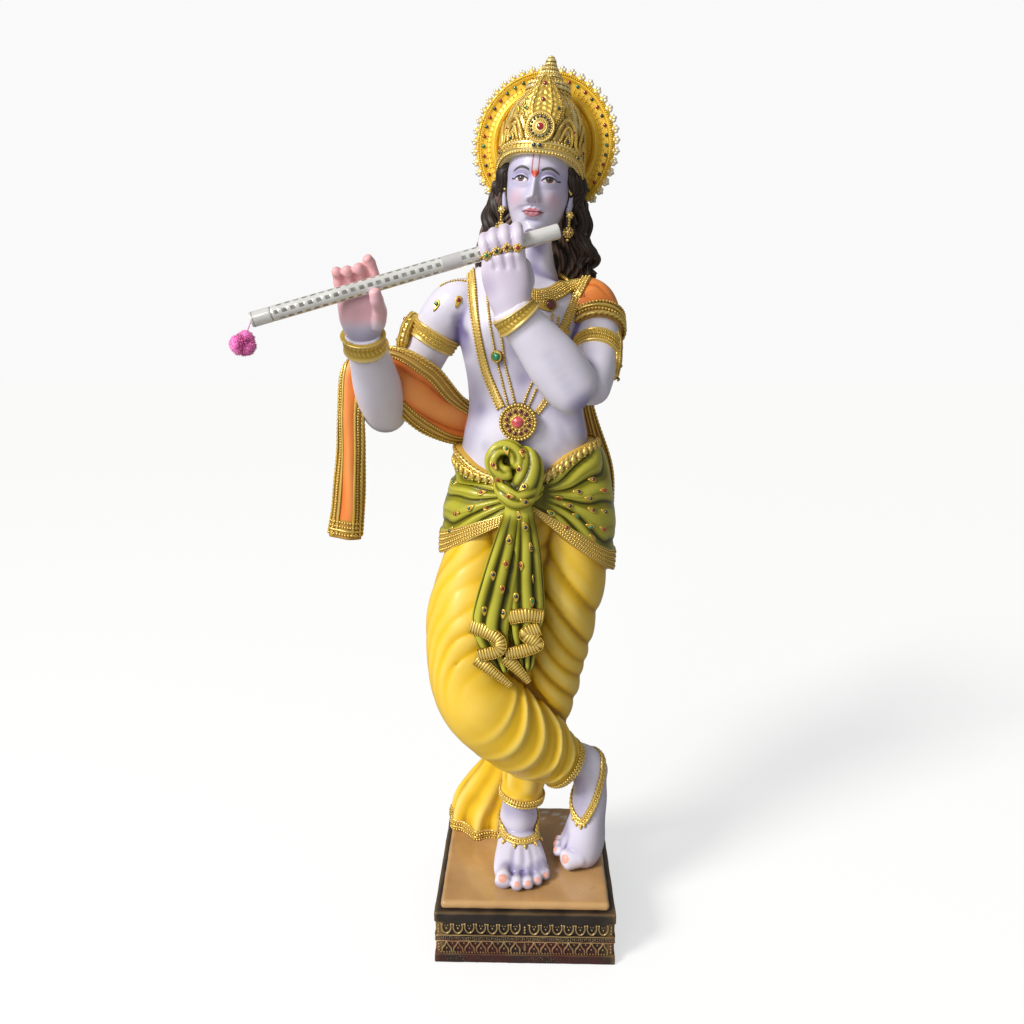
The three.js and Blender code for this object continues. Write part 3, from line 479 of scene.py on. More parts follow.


# Violet over the skin: a dab on the right nipple; in the creases partly the painter's airbrushing
# and partly painted shade, under the chest and collar, in the armpit and elbows, round the navel,
# down the sides of the waist and along the belt; and painted shadow round the neck and of the left
# forearm across the belly.
DAB_STRENGTH = 0.85
points = points_of(body)
shade = np.zeros(len(points))
for x, y, z, radius in (
    (-38.5, -23, 395.4, 4), (-33, -24, 388, 10), (-40, -4, 396, 16), (-6, -26, 329, 13),
    (33, -60, 361, 13), (-100, 6, 338, 12), (6, -10, 455, 12)
):
    shade = np.maximum(shade, DAB_STRENGTH * near(points, (x, y, z), radius))
strokes = (
    ([
        (-46, -12, 400), (-44, -18, 393), (-38, -23, 387), (-31, -25, 384), (-23, -26, 384)
    ], 5.5, 0.55),
    ([(-45, -14, 388), (-46, -8, 400), (-47, -12, 412)], 6, 0.6),
    ([(-42, -4, 372), (-39, -10, 356), (-39, -12, 342), (-42, -8, 330)], 17, 0.42),
    ([(16, -15, 452), (19, -15, 459), (20, -13, 466)], 12, 0.6),
    ([(39, -4, 366), (38, -10, 352), (39, -10, 338), (43, -6, 330)], 18, 0.55),
    ([(27, -24, 358), (24, -26, 345), (27, -25, 332)], 8, 0.45),
    ([(27, -57, 384), (29, -60, 376), (31, -60, 370)], 5, 0.7),
    ([(36, -44, 380), (42, -34, 388)], 8, 0.4),
    ([(12, -68, 390), (24, -66, 372), (36, -60, 355)], 7, 0.2),
    ([(-6, -28, 392), (10, -28, 372), (24, -27, 356), (34, -20, 348)], 13, 0.55),
    ([(-60, 18, 392), (-72, 16, 376), (-84, 12, 364)], 9, 0.4),
    ([(-94, 12, 352), (-92, -4, 362), (-93, -16, 372)], 7, 0.4),
    ([(-12, -14, 440), (4, -18, 436), (18, -12, 441)], 7, 0.35),
    ([(-40, -20, 336), (-20, -28, 322), (0, -30, 320), (22, -27, 326), (38, -20, 336)], 8, 0.4)
)
note(body, "violet_paint_and_shade", airbrushed_shade(points, strokes, shade))
note(body, "blush", 0)
note(body, "nail", 0)
settle(body, skin)

# Hands: the raised right hand shows its pink palm round the flute, with the thumb in front; the
# left hand turns its back to the viewer and folds its fingers over the flute. Cast with the arms.
HAND_VOXEL = 0.7


def knuckled(stops, radius, narrowing=0.06):
    rings = [(*stop, *(radius * (1 - narrowing * i),) * 2) for i, stop in enumerate(stops)]
    joint = 1 / (len(stops) - 1)

    def relief(t, angle):
        swell = np.zeros_like(t)
        for i in range(1, len(stops) - 1):
            swell += 0.32 * np.exp(-(((t - i * joint) / 0.07) ** 2))
        return swell - 0.25 * np.exp(-(((t - 0.5 * joint) / 0.12) ** 2))

    return Form(rings, relief=relief)


def creased(stops, width, depth, count=14):
    """A fine line pressed along a few points, as a row of small dabs."""
    line = along_curve(stops, np.linspace(0, 1, count))
    return [(*point, width, -depth) for point in line]


right_palm = Form([
    (-102, -44, 397, 12, 9.2), (-102, -48, 402, 11.4, 8.6), (-101.5, -53, 409, 13, 7.6),
    (-101, -58, 419, 14, 6.2), (-102, -60, 428, 12.8, 4.6)
])
right_fingers = [
    (3.5, [(-112, -59, 424), (-113, -60, 432), (-113, -64, 437.5), (-112.5, -69, 436.5)]),
    (3.7, [(-105.5, -60, 426), (-106, -61, 433), (-106.5, -65, 438), (-106, -70, 436.5)]),
    (3.8, [(-99, -60, 428), (-99, -61, 434.5), (-99.5, -65, 439.5), (-99.5, -70, 438)]),
    (3.8, [(-92.5, -60, 427), (-92, -61, 436), (-93.5, -63, 443), (-95.5, -66, 446.5)]),
    (4.4, [(-92, -55, 407), (-88.5, -63, 415), (-88.5, -72, 421.5), (-89.5, -75, 428)])
]
left_palm = Form([
    (-7.5, -65, 412, 12.2, 9.2), (-8.5, -65, 416, 11.6, 8.8), (-10.5, -66, 424, 13, 7.5),
    (-13, -66, 436, 14, 6.2), (-14, -66, 447, 13, 5)
], across=(0.96, 0, 0.28))
left_fingers = [
    (3.6, [
        (-23, -66, 444), (-25.5, -65, 453), (-25.5, -58, 457.5), (-24.5, -50.5, 456),
        (-24, -48.5, 450)
    ]),
    (3.9, [
        (-17, -66, 446), (-20, -65, 455.5), (-20, -58, 460), (-19, -50.5, 458), (-18.5, -48.5, 452)
    ]),
    (4.0, [
        (-11, -66, 448), (-13.5, -65, 457.5), (-13.5, -58, 462), (-13, -50.5, 460),
        (-12.5, -48.5, 454)
    ]),
    (4.1, [(-5, -66, 448), (-6, -65, 458), (-6.5, -58, 463), (-6, -50.5, 461.5), (-6, -48.5, 456)]),
    (4.6, [(-3, -62, 422), (0, -55, 433), (-2, -50, 442), (-6, -49, 447)])
]


def make_hand(name, palm, fingers, marks):
    parts = [cast(name, palm, 48, 60)]
    for radius, stops in fingers:
        parts.append(cast(name, knuckled(stops, radius), 24, 44, (0, 0.12)))
    hand = fuse(name, parts, HAND_VOXEL, 4)
    sculpt(hand, marks)
    note_hollows(hand, 60)
    return hand


palm_marks = [(-91, -58, 410, 6, 1.6), (-110, -58, 410, 6, 1.0), (-101, -62, 414, 4, -1.1)]
palm_marks += creased([(-96, -62, 405), (-97, -64, 411), (-93, -65, 417)], 1.0, 0.5)
palm_marks += creased([(-110, -64, 417), (-104, -65, 417.5), (-97, -65.5, 421)], 1.0, 0.45)
back_marks = [
    (-21, -70, 443, 3, 0.7), (-15.5, -71, 445, 3, 0.8), (-10, -71.5, 446.5, 3, 0.8),
    (-5, -71, 447, 3, 0.8)
]
for gap_x in (-20.5, -14.2, -8):
    back_marks += creased([
        (gap_x, -70.5, 452), (gap_x + 0.7, -71.5, 446), (gap_x + 1.8, -72, 439)
    ], 1.5, 0.36)
hands = (
    make_hand("hand_right", right_palm, right_fingers, palm_marks),
    make_hand("hand_left", left_palm, left_fingers, back_marks)
)
for hand, pink in zip(hands, (1.0, 0.1)):
    points, normals = points_of(hand), normals_of(hand)
    height = (points[:, 2] - ground) / MM
    lit = step_up(-normals[:, 1], -0.5, 0.6) * step_up(height, 403, 412)
    note(hand, "blush", pink * np.clip(0.75 * lit + 0.25 * step_up(height, 420, 436), 0, 1))
    # Painted shade: the right hand darker towards its wrist, the left darker in soft patches on its
    # back
    if pink > 0.5:
        violet_paint_and_shade = 0.6 * (1 - step_up(height, 396, 408))
    else:
        shaded = near(points, (-22, -66, 430), 12) + near(points, (-16, -72, 449), 7)
        shaded += near(points, (-2, -66, 424), 9)
        violet_paint_and_shade = 0.45 * np.clip(shaded, 0, 1)
    note(hand, "violet_paint_and_shade", violet_paint_and_shade)
    note(hand, "nail", 0)
    settle(hand, skin)

# Feet: the left one stands flat on the plinth and points forward, the right one crosses over and
# stands on its toes with the heel high. The toenails are painted salmon pink.
ankle_left = Form([
    (-4, 11, 66, 13.2, 14), (-5.2, 11.5, 44, 13, 13.5), (-5.6, 13, 26, 14, 15), (-6, 14, 12, 14, 16)
])
sole_left = Form([
    (-7, 34, 8, 9, 8), (-7, 24, 10, 13, 11), (-6, 8, 13, 15.5, 14), (-4.5, -8, 10, 19, 11),
    (-3.5, -20, 7, 20.5, 8), (-3, -28, 5.2, 19.5, 6)
])
foot_right = Form([
    (34, -9, 95, 11, 11), (46, -4, 84, 12, 13.5), (48.5, -1, 70, 13, 12.6), (49, 0, 56, 13.5, 13.4),
    (48.5, 1, 40, 15, 13.2), (46, 1.5, 24, 17, 15.5), (43.5, 2, 12, 18.5, 16.5),
    (41.5, 2.5, 4, 17.5, 15.5)
], across=DEPTH)
left_toes = [
    (6.4, [(-14, -24, 6.5), (-16, -32, 6.2), (-17, -38.5, 5)]),
    (4.4, [(-5.5, -25, 5.5), (-6, -35, 5.4), (-6, -41.5, 3.8)]),
    (4.2, [(2, -25, 5.5), (2, -34, 5.2), (2, -39.5, 3.6)]),
    (4.0, [(8.5, -22, 5.5), (9, -29, 5), (9, -35, 3.5)]),
    (3.8, [(14, -17, 5.2), (14.8, -23, 4.8), (15, -28.5, 3.4)])
]
right_toes = [
    (8.6, [(48, -4, 12), (40, -10, 10), (27, -13.5, 7.6)]),
    (4.2, [(38, -3, 9), (29, -1, 8), (22.5, 2, 5)]),
    (4.0, [(38, 5, 9), (29, 7.5, 7.5), (22.5, 10.5, 4.6)]),
    (3.8, [(38, 12, 8), (30, 15, 6.5), (24, 18, 4.3)]),
    (3.6, [(40, 18, 7), (34, 21, 5.6), (28.5, 24, 4)])
]
# The middle of each toenail and its half length
nails = [
    (-16.6, -38.2, 10.2, 3.7), (-5.8, -41.5, 7.6, 2.6), (2, -39.5, 7.3, 2.5), (9, -35, 7, 2.4),
    (15, -28.5, 6.6, 2.2)
]
nails += [
    (29.6, -18, 12.6, 3.7), (22.5, -1, 9.2, 2.5), (22.8, 8, 8.6, 2.4), (24, 16, 8, 2.3),
    (29, 22.5, 7.2, 2.1)
]
# Violet in the creases, partly the painter's airbrushing and partly painted shade: across the
# roots of the toes, round the ankles and over the right instep
foot_shades = (
    ([(-14, -26, 12), (0, -31, 11), (14, -20, 10)], 7, 0.6),
    ([(-16, -2, 44), (-5, -4, 46), (8, -2, 44)], 15, 0.5),
    ([(34, -8, 84), (40, -12, 66), (38, -10, 46)], 11, 0.45),
    ([(33, 0, 26), (36, 10, 22), (38, 18, 18)], 11, 0.55)
)


def make_foot(name, forms, toes, marks):
    parts = [cast(name, form, 64, 70, domes) for form, domes in forms]
    for radius, stops in toes:
        parts.append(cast(name, knuckled(stops, radius, 0.03), 24, 36, (0, 0.16)))
    foot = fuse(name, parts, 0.92, 3)
    sculpt(foot, marks)
    stand(foot)
    points = points_of(foot)
    note_hollows(foot, 70)
    gap = np.full(len(points), 99.0)
    for x, y, z, size in nails:
        gap = np.minimum(gap, np.linalg.norm(points - place((x, y, z)), axis=1) / MM / size)
    note(foot, "nail", 1 - step_up(gap, 0.86, 1.0))
    # Painted shade where the foot comes down to the plinth
    low = 0.7 * (1 - step_up((points[:, 2] - ground) / MM, 1, 9))
    note(foot, "violet_paint_and_shade", airbrushed_shade(points, foot_shades, low))
    note(foot, "blush", 0)
    settle(foot, skin)
    return foot


instep = [(-16, 12, 30, 7, 1.2), (6, 12, 30, 6, 1.2), (-6, 2, 26, 8, 1.0)]
for gap_x in (-10.5, -1.8, 5.4, 11.8):
    instep += creased([(gap_x, -30, 10), (gap_x + 1, -22, 15), (gap_x * 0.8, -13, 19)], 2.4, 0.42)
feet = [make_foot("foot_left", [(ankle_left, (0, 0)), (sole_left, (0.1, 0))], left_toes, instep)]
arch = [(34, 0, 60, 7, -0.8), (60, 2, 78, 8, 1.6), (56, 0, 18, 9, 1.0)]
for gap_y in (-7.5, 1.2, 9, 15.5):
    arch += creased([(27, gap_y, 12), (31, gap_y, 18), (35, gap_y * 0.8, 26)], 1.9, 0.55)
feet.append(make_foot("foot_right", [(foot_right, (0, 0))], right_toes, arch))

# Head: smooth painted casting with calm, even features, turned a little and leaning a little. It
# is drawn in a frame of its own, in millimetres from the middle of the skull, face towards -y.
SKULL = np.array((7.0, -2.0, 494.0))
head_turn = np.array(
    Matrix.Rotation(math.radians(5.5), 3, "Y") @ Matrix.Rotation(math.radians(-7), 3, "Z")
)


def on_head(points):
    return place(SKULL + np.asarray(points, float) @ head_turn.T)


head_form = Form([
    (0, -15, -31, 5, 5.5), (0, -11.5, -27, 10.5, 11), (0, -7, -20, 15.5, 16.5),
    (0, -4, -10, 19, 20.5), (0, -2, 0, 20.5, 23.5), (0, -1, 10, 21, 25), (0, 0, 20, 19, 23)
], home=lambda points: points)


def bump(value, centre, spread):
    return np.exp(-(((value - centre) / spread) ** 2))


def dip(value, centre, spread, sharpness=2.0):
    return np.exp(-(np.abs((value - centre) / spread) ** sharpness))


EYE_X, EYE_Z, EYE_HALF = 8.9, 1.2, 4.9


def eye_lines(x):
    """The upper and lower lid line at a distance x from the face's middle."""
    u = np.clip((x - EYE_X) / EYE_HALF, -1, 1)
    tilt = 0.35 * u
    upper = EYE_Z + tilt + 2.0 * (1 - np.abs(u) ** 2.2)
    lower = EYE_Z + tilt - 1.35 * (1 - np.abs(u) ** 2)
    return u, upper, lower


def lip_lines(x):
    """Top of the upper lip, the line between the lips, and the lower edge of the lower lip."""
    u = np.clip(np.abs(x) / 6.6, 0, 1)
    between = -17.6 + 0.35 * u**2
    bow = 1 + 0.28 * bump(np.abs(x), 1.9, 1.0)
    top = between + 2.3 * (1 - u) ** 0.7 * bow - 0.45 * bump(x, 0, 0.9)
    low = between - 2.9 * (1 - u**2) ** 0.8
    return u, top, between, low


def face_relief(x, z):
    """How far the face stands forward of the plain head, in millimetres."""
    ax = np.abs(x)
    nose_half = 2.1 + 1.2 * step_up(-z, 0, 11)
    ridge = (0.6 + 5.2 * step_up(-z, -6, 9.5)) * step_up(z, -12.2, -9.6) * (1 - step_up(z, 3, 11))
    rise = ridge * bump(x, 0, nose_half)
    rise += 1.2 * bump(x, 0, 2.6) * bump(z, -9.0, 2.4)
    rise += 1.9 * bump(ax, 3.1, 1.25) * bump(z, -10.4, 1.7)
    rise -= 0.5 * bump(ax, 1.6, 0.7) * bump(z, -12.3, 0.7)
    rise -= 2.3 * bump(ax, EYE_X, 6.2) * bump(z, EYE_Z + 0.8, 4.4)
    rise -= 0.9 * bump(ax, 3.6, 2.2) * bump(z, 2.5, 3.2)
    rise += 0.9 * bump(ax, 9.5, 6.5) * bump(z, 8.4, 2.3)
    u, upper, lower = eye_lines(ax)
    inside = (np.abs(ax - EYE_X) < EYE_HALF) & (z < upper) & (z > lower)
    middle = (upper + lower) / 2
    ball = 2.0 * np.clip(1 - ((ax - EYE_X) / 7.2) ** 2 - ((z - middle) / 5.6) ** 2, 0, 1) ** 1.4
    rise += ball
    lid = 0.75 * bump(z, upper + 0.6, 0.75) + 0.22 * bump(z, lower - 0.5, 0.7)
    rise += lid * step_up(1 - np.abs(u), 0.0, 0.25) * (np.abs(u) < 1)
    rise -= 0.5 * bump(z, upper + 2.3, 0.6) * step_up(1 - np.abs(u), 0.0, 0.3)
    rise = np.where(inside, rise - 0.35, rise)
    u, top, between, low = lip_lines(x)
    mouth = step_up(1 - u, 0.0, 0.5)
    rise += 1.5 * mouth * dip(z, (top + between) / 2, 1.9, 3)
    rise += 1.9 * mouth * dip(z, (low + between) / 2, 2.1, 3)
    rise -= 1.1 * mouth**0.5 * bump(z, between, 0.5)
    rise -= 0.5 * bump(x, 0, 0.9) * bump(z, -14, 1.5)
    rise -= 0.25 * bump(ax, 7.3, 1.6) * bump(z, -17.2, 1.6)
    rise -= 0.9 * bump(x, 0, 5) * bump(z, -22.2, 1.6)
    rise += 1.9 * bump(x, 0, 5.5) * bump(z, -27, 3.6)
    rise += 1.0 * bump(ax, 11.5, 5) * bump(z, -8.5, 5.5)
    return rise


def brow_share(x, z):
    v = np.clip((np.abs(x) - 3.6) / 11.2, 0, 1)
    line = 5.9 + 2.7 * np.sin(math.pi * np.clip(v * 0.86 + 0.06, 0, 1)) - 0.9 * v
    half = 0.28 + 0.42 * np.sin(math.pi * np.clip(v, 0.02, 1)) ** 0.6 * (1 - 0.35 * v)
    reach = step_up(v, 0.0, 0.04) * (1 - step_up(v, 0.93, 1.0))
    return (1 - step_up(np.abs(z - line), half, half + 0.28)) * reach


def layer(colours, share, colour):
    colours += share[:, None] * (np.array(colour) - colours)


head = cast("head", head_form, 244, 208, (0.0, 0.0), front=math.pi / 2)
local = points_of(head)
facing = step_up(-local[:, 1], 4, 10)
local[:, 1] -= facing * face_relief(local[:, 0], local[:, 2])
x, z = local[:, 0], local[:, 2]
move_points(head, on_head(local))
finish_mesh(head)
note_hollows(head, 24)

# The colours on the face, laid one over the other: painted shade at the sides of the face, over
# and under the eyes, beside the nose and nostrils, under the lower lip and under the chin; then the
# painter's blush, eyes, brows, lips and forehead mark
ax = np.abs(x)
face = np.tile(np.array(SKIN) * (1.06, 1.06, 1.03), (len(x), 1))
layer(face, 0.5 * bump(ax, 16, 6) * step_up(z, -20, 0), (0.40, 0.36, 0.62))
layer(face, 0.55 * bump(ax, EYE_X + 1, 6.5) * bump(z, 4.4, 2.2), (0.30, 0.27, 0.55))
layer(face, 0.45 * bump(ax, 3.4, 1.6) * bump(z, 0.5, 5), (0.36, 0.32, 0.60))
layer(face, 0.18 * bump(ax, EYE_X, 4.5) * bump(z, -1.8, 1.2), (0.42, 0.36, 0.62))
layer(face, 0.22 * bump(ax, 4.2, 1.3) * bump(z, -11.5, 1.6), (0.42, 0.35, 0.55))
layer(face, 0.35 * bump(x, 0, 6) * bump(z, -22.3, 1.4), (0.42, 0.37, 0.62))
layer(face, 0.55 * step_up(-z, 27, 33), (0.34, 0.31, 0.56))
layer(face, 0.55 * bump(ax, 12, 4.6) * bump(z, -9.5, 4.6), (0.80, 0.42, 0.50))
u, upper, lower = eye_lines(ax)
within = 1 - step_up(np.abs(ax - EYE_X), EYE_HALF - 0.3, EYE_HALF + 0.05)
white = within * (1 - step_up(z, upper - 0.25, upper + 0.1)) * step_up(z, lower - 0.1, lower + 0.25)
layer(face, white, (0.82, 0.81, 0.84))
layer(face, white * bump(np.abs(ax - EYE_X), EYE_HALF, 1.1), (0.72, 0.35, 0.36))
iris_gap = np.hypot(ax - EYE_X - 0.1, z - EYE_Z - 0.85)
layer(face, white * (1 - step_up(iris_gap, 2.1, 2.35)), (0.02, 0.014, 0.012))
layer(face, white * (1 - step_up(iris_gap, 1.6, 1.95)), (0.13, 0.065, 0.03))
layer(face, white * (1 - step_up(iris_gap, 0.85, 1.1)), (0.004, 0.004, 0.005))
glint = np.hypot(x - np.sign(x) * EYE_X + 0.55, z - EYE_Z - 1.25)
layer(face, white * (1 - step_up(glint, 0.28, 0.45)), (0.95, 0.95, 0.95))
lash_end = (ax - EYE_X) / EYE_HALF
tail = step_up(lash_end, 0.4, 0.9) * (1 - step_up(lash_end, 1.30, 1.42))
lid_line = np.where(lash_end > 0.9, EYE_Z + 0.35 + 0.9 * (lash_end - 0.9) * EYE_HALF * 0.18, upper)
lash = (1 - step_up(np.abs(z - lid_line), 0.34, 0.66)) * np.maximum(within, tail)
layer(face, lash, (0.014, 0.012, 0.018))
fold = (1 - step_up(np.abs(z - upper - 1.75), 0.08, 0.32)) * step_up(1 - np.abs(u), 0.05, 0.3)
layer(face, 0.85 * fold, (0.09, 0.075, 0.13))
rim = (1 - step_up(np.abs(z - lower), 0.14, 0.38)) * within
layer(face, 0.8 * rim, (0.30, 0.09, 0.09))
layer(face, brow_share(x, z), (0.05, 0.04, 0.022))
u, top, between, low = lip_lines(x)
lips = (1 - step_up(z, top - 0.15, top + 0.2)) * step_up(z, low - 0.2, low + 0.15) * (u < 0.995)
layer(face, lips, (0.50, 0.105, 0.13))
# Painted highlight on the middle of the lower lip
layer(face, 0.4 * lips * bump(z, between - 1.4, 0.7) * bump(x, 0, 3), (0.78, 0.34, 0.36))
parting = (1 - step_up(np.abs(z - between), 0.12, 0.38)) * (np.abs(x) < 7.2)
layer(face, parting, (0.10, 0.01, 0.02))
mark_half = 2.3 * np.clip((z - 2.0) / 3.2, 0, 1) ** 0.5
mark = (np.abs(x) < mark_half) & (z > 2.0)
side_line = bump(ax, 2.05, 0.42) * step_up(z, 4, 5)
layer(face, np.where(mark, 1 - step_up(z, 5.4, 6.6), 0.0), (0.78, 0.055, 0.015))
layer(face, 0.8 * np.where(mark, bump(z, 6.0, 1.1) * bump(x, 0, 1.3), 0.0), (0.86, 0.20, 0.02))
layer(face, np.clip(side_line, 0, 1), (0.42, 0.03, 0.02))
paint_layer = head.data.attributes.new("face", "FLOAT_COLOR", "POINT")
coloured = np.ones((len(x), 4), np.float32)
coloured[:, :3] = np.clip(face, 0, 1)
paint_layer.data.foreach_set("color", coloured.ravel())
note(head, "wet", np.clip(white + 0.6 * lips, 0, 1))
face_finish = painted(
    "painted face", SKIN, SKIN_VIOLET_AND_SHADE, SKIN_HIGHLIGHT, reach=1.4, blotch=0.03, gloss=0.34, coat=0.2
)
tree = face_finish.node_tree
for mask, output, node, socket in (
    ("face", "Color", "hand", "Paint"), ("wet", "Fac", "Principled BSDF", "Coat Weight")
):
    given = wired(tree, "Attribute", {}, attribute_name=mask).outputs[output]
    tree.links.new(given, tree.nodes[node].inputs[socket])
settle(head, face_finish)

# Ears, cast with the head; the long lobes carry the earrings
ears = []
for hand_side in (-1, 1):
    ear_form = Form(
        [
            (hand_side * 20.6, -2.4, -15, 1.6, 2.4), (hand_side * 21.2, -1.4, -11, 2.0, 3.2),
            (hand_side * 21.9, 0, -5, 2.2, 4.8), (hand_side * 22.9, 1.4, 1, 2.2, 5.6),
            (hand_side * 22.6, 2.2, 5, 1.8, 4.2)
        ],
        relief=lambda t, angle: -1.5 * bump(t, 0.62, 0.22) * bump(np.sin(angle), 0.2, 0.5),
        home=on_head
    )
    ears.append(cast("ear", ear_form, 48, 60, (0.12, 0.12)))
ears = fuse("ears", ears, 0.4, 4)
note_hollows(ears, 30)
for mask, share in (("violet_paint_and_shade", 0.25), ("blush", 0), ("nail", 0)):
    note(ears, mask, share)
settle(ears, skin)

# Dhoti: yellow cloth wrapped tightly round both legs, in rolled folds that slide round the
# standing thigh and in wide arcs round the crossing calf. Its end trails behind the ankles.
# Yellow cloth paint with its painted shade for folds and hollows and its painted highlight for
# ridges
YELLOW, YELLOW_SHADE, YELLOW_HIGHLIGHT = (0.85, 0.52, 0.018), (0.34, 0.155, 0.002), (0.93, 0.68, 0.15)
# Gold paint with its painted shade for hollows and undersides and its painted highlight for ridges
GOLD, GOLD_SHADE, GOLD_HIGHLIGHT = (0.80, 0.54, 0.09), (0.24, 0.125, 0.016), (1.0, 0.84, 0.42)


def clothe(piece, rounds, gilt, finish):
    """Gives a cloth its shadows, its gilt border and its finish."""
    finish_mesh(piece)
    note_hollows(piece, rounds)
    note(piece, "gilt", gilt)
    settle(piece, finish)


def roll(phase):
    """One fold: a rounded roll with a sharper crease on its far side."""
    w = phase - np.floor(phase)
    return np.where(w < 0.6, np.sin(math.pi / 2 * w / 0.6), np.cos(math.pi / 2 * (w - 0.6) / 0.4))


def wander(t, angle):
    """Slow, smooth unevenness of hand-modelled cloth, about -1 to 1."""
    return (
        np.sin(3 * angle + 9 * t) + np.sin(5 * angle - 23 * t + 1) + np.sin(2 * angle + 31 * t + 2)
    ) / 3


def sweep_share(angle, centre, spread):
    turn = np.arctan2(np.sin(angle - centre), np.cos(angle - centre))
    return np.clip(0.5 + turn / (2 * spread), 0, 1)


def standing_flow(t, angle):
    q = sweep_share(angle, 5.2, 1.6)
    return t + 0.16 * (1 - (1 - q) ** 2) * step_up(t, 0, 0.25) * (1 - step_up(t, 0.7, 1))


def crease(phase):
    """Full, rounded folds side by side, with sharp creases between them."""
    w = phase - np.floor(phase)
    return np.sin(math.pi * w**0.8) ** 0.62


def ridge(phase):
    """Narrow raised folds with broad hollows between them."""
    w = phase - np.floor(phase)
    return np.exp(-(((w - 0.5) / 0.19) ** 2))


def standing_folds(t, angle):
    q = sweep_share(angle, 5.2, 1.6)
    fade = np.sin(math.pi * np.clip(1.08 * q - 0.02, 0, 1)) ** 0.6
    reach = step_up(t, 0.02, 0.10) * (1 - step_up(t, 0.60, 0.74))
    fall = t - 0.13 * (1 - (1 - q) ** 2)
    phase = 1 - 14.5 * fall + 0.22 * np.sin(19 * fall + 1.0) + 0.10 * np.sin(9 * t + 2.5 * q)
    rise = 4.3 * fade * (crease(phase) - 0.4) * reach * (0.75 + 0.25 * np.sin(31 * fall))
    early = 1 - step_up(q, 0.4, 0.7)
    rise += 0.9 * fade * crease(2 * phase + 0.3) * reach * step_up(q, 0.1, 0.3) * early
    low = step_up(t, 0.72, 0.86)
    rise += low * (1 - step_up(t, 0.92, 0.965)) * 0.8 * np.cos(9 * angle + 2 * np.sin(2 * angle))
    return rise + 0.35 * wander(t, angle) + np.where(t > 0.972, 1.2, 0.0)


def crossing_flow(t, angle):
    return t - 0.05 * np.cos(angle - 0.6) * step_up(t, 0.4, 0.7) * (1 - step_up(t, 0.85, 1))


def crossing_folds(t, angle):
    arcs = step_up(t, 0.50, 0.66) * (t < 0.957)
    front = 0.35 + 0.65 * np.clip(-np.sin(angle - 0.9), 0, 1)
    bow = 0.055 * np.sin(angle - 0.2)
    phase = 12.5 * (t + bow) + 0.15 * np.sin(2 * angle) + 0.3 * np.sin(11 * t)
    rise = 2.4 * ridge(phase) * arcs * front
    rise += 0.8 * ridge(25 * (t + 0.8 * bow) + 0.4) * step_up(t, 0.72, 0.8) * (t < 0.957) * front
    thigh = 1 - step_up(t, 0.34, 0.50)
    q = sweep_share(angle, 4.3, 1.9)
    drape = t + 0.46 * q + 0.02 * np.sin(3 * angle)
    wave = crease(13 * drape + 0.5 * np.sin(11 * drape)) - 0.5
    fullness = 0.7 + 0.3 * np.sin(23 * drape)
    rise += 1.5 * thigh * wave * step_up(t, 0.0, 0.08) * step_up(q, 0.14, 0.42) * fullness
    rise += 1.1 * bump(t, 0.49, 0.05) * bump(np.sin(angle + 0.4), -1, 0.5)
    return rise + 0.35 * wander(t, angle) + np.where(t > 0.957, 1.3, 0.0)


leg_standing = Form([
    (26, 4, 300, 22, 24), (27, 4, 238, 30, 30), (22.5, 4, 205, 28, 28), (17.5, 4, 176, 27, 26),
    (14, 5, 150, 25, 24.5), (9.5, 6, 124, 22.5, 22.5), (6, 8, 104, 20.5, 21), (0.5, 10, 78, 18, 18),
    (-3.5, 11, 48, 15.5, 15.5)
], relief=standing_folds, flow=standing_flow)
leg_crossing = Form([
    (-28, 4, 300, 19, 22), (-34, -2, 244, 25.5, 27), (-41, -12, 206, 29.5, 29),
    (-43, -20, 178, 27.5, 27.5), (-38, -26, 156, 28, 27), (-25.5, -29, 139, 29, 26),
    (-10, -28, 124, 28.5, 23), (7, -22, 108, 26.5, 19.5), (19.5, -16, 97, 21.5, 17),
    (30, -11, 88, 17.5, 15)
], across=(0.62, 0, 0.78), relief=crossing_folds, flow=crossing_flow)
trail = Form(
    [
        (3, 11, 142, 8, 6), (-13, 22, 97, 12, 9), (-22, 31, 62, 14.5, 10), (-33, 38, 36, 19, 12),
        (-41, 41, 16, 22, 13), (-43, 42, -4, 22, 13)
    ],
    across=(0.82, -0.57, 0),
    relief=lambda t, angle: step_up(t, 0.1, 0.9) * 2.2 * np.cos(6 * angle)
        + step_up(t, 0.5, 0.95) * 0.5 * np.cos(13 * angle + 1) + np.where(t > 0.875, 1.0, 0.0)
)
gusset = Form([
    (-4, -13, 286, 24, 15), (-5, -14, 244, 21, 13), (-7, -16, 204, 17, 11), (-6, -12, 165, 12, 10),
    (-6, -2, 140, 7, 7)
], relief=lambda t, angle: 1.6 * crease(9 * t + 0.8 * np.cos(angle)))
seat = Form([
    (-2, 6, 302, 43, 25), (-2, 9, 264, 49, 28), (-2, 9, 238, 46, 25), (-2, 8, 216, 34, 16)
])
yellow = painted(
    "yellow cloth", YELLOW, YELLOW_SHADE, YELLOW_HIGHLIGHT, reach=1.1, blotch=0.07, gloss=0.36, coat=0.1
)
overpaint(yellow, "gilt", (0.62, 0.38, 0.06))
legs = [cast("leg", leg_standing, 240, 280), cast("leg", leg_crossing, 240, 280)]
legs += [cast("leg", gusset, 120, 120), cast("leg", seat, 90, 60, (0, 0.3))]
legs = fuse("dhoti_legs", legs, 1.35, 0)
points = points_of(legs)
cuff = np.zeros(len(points))
CUFF_REACH = 25
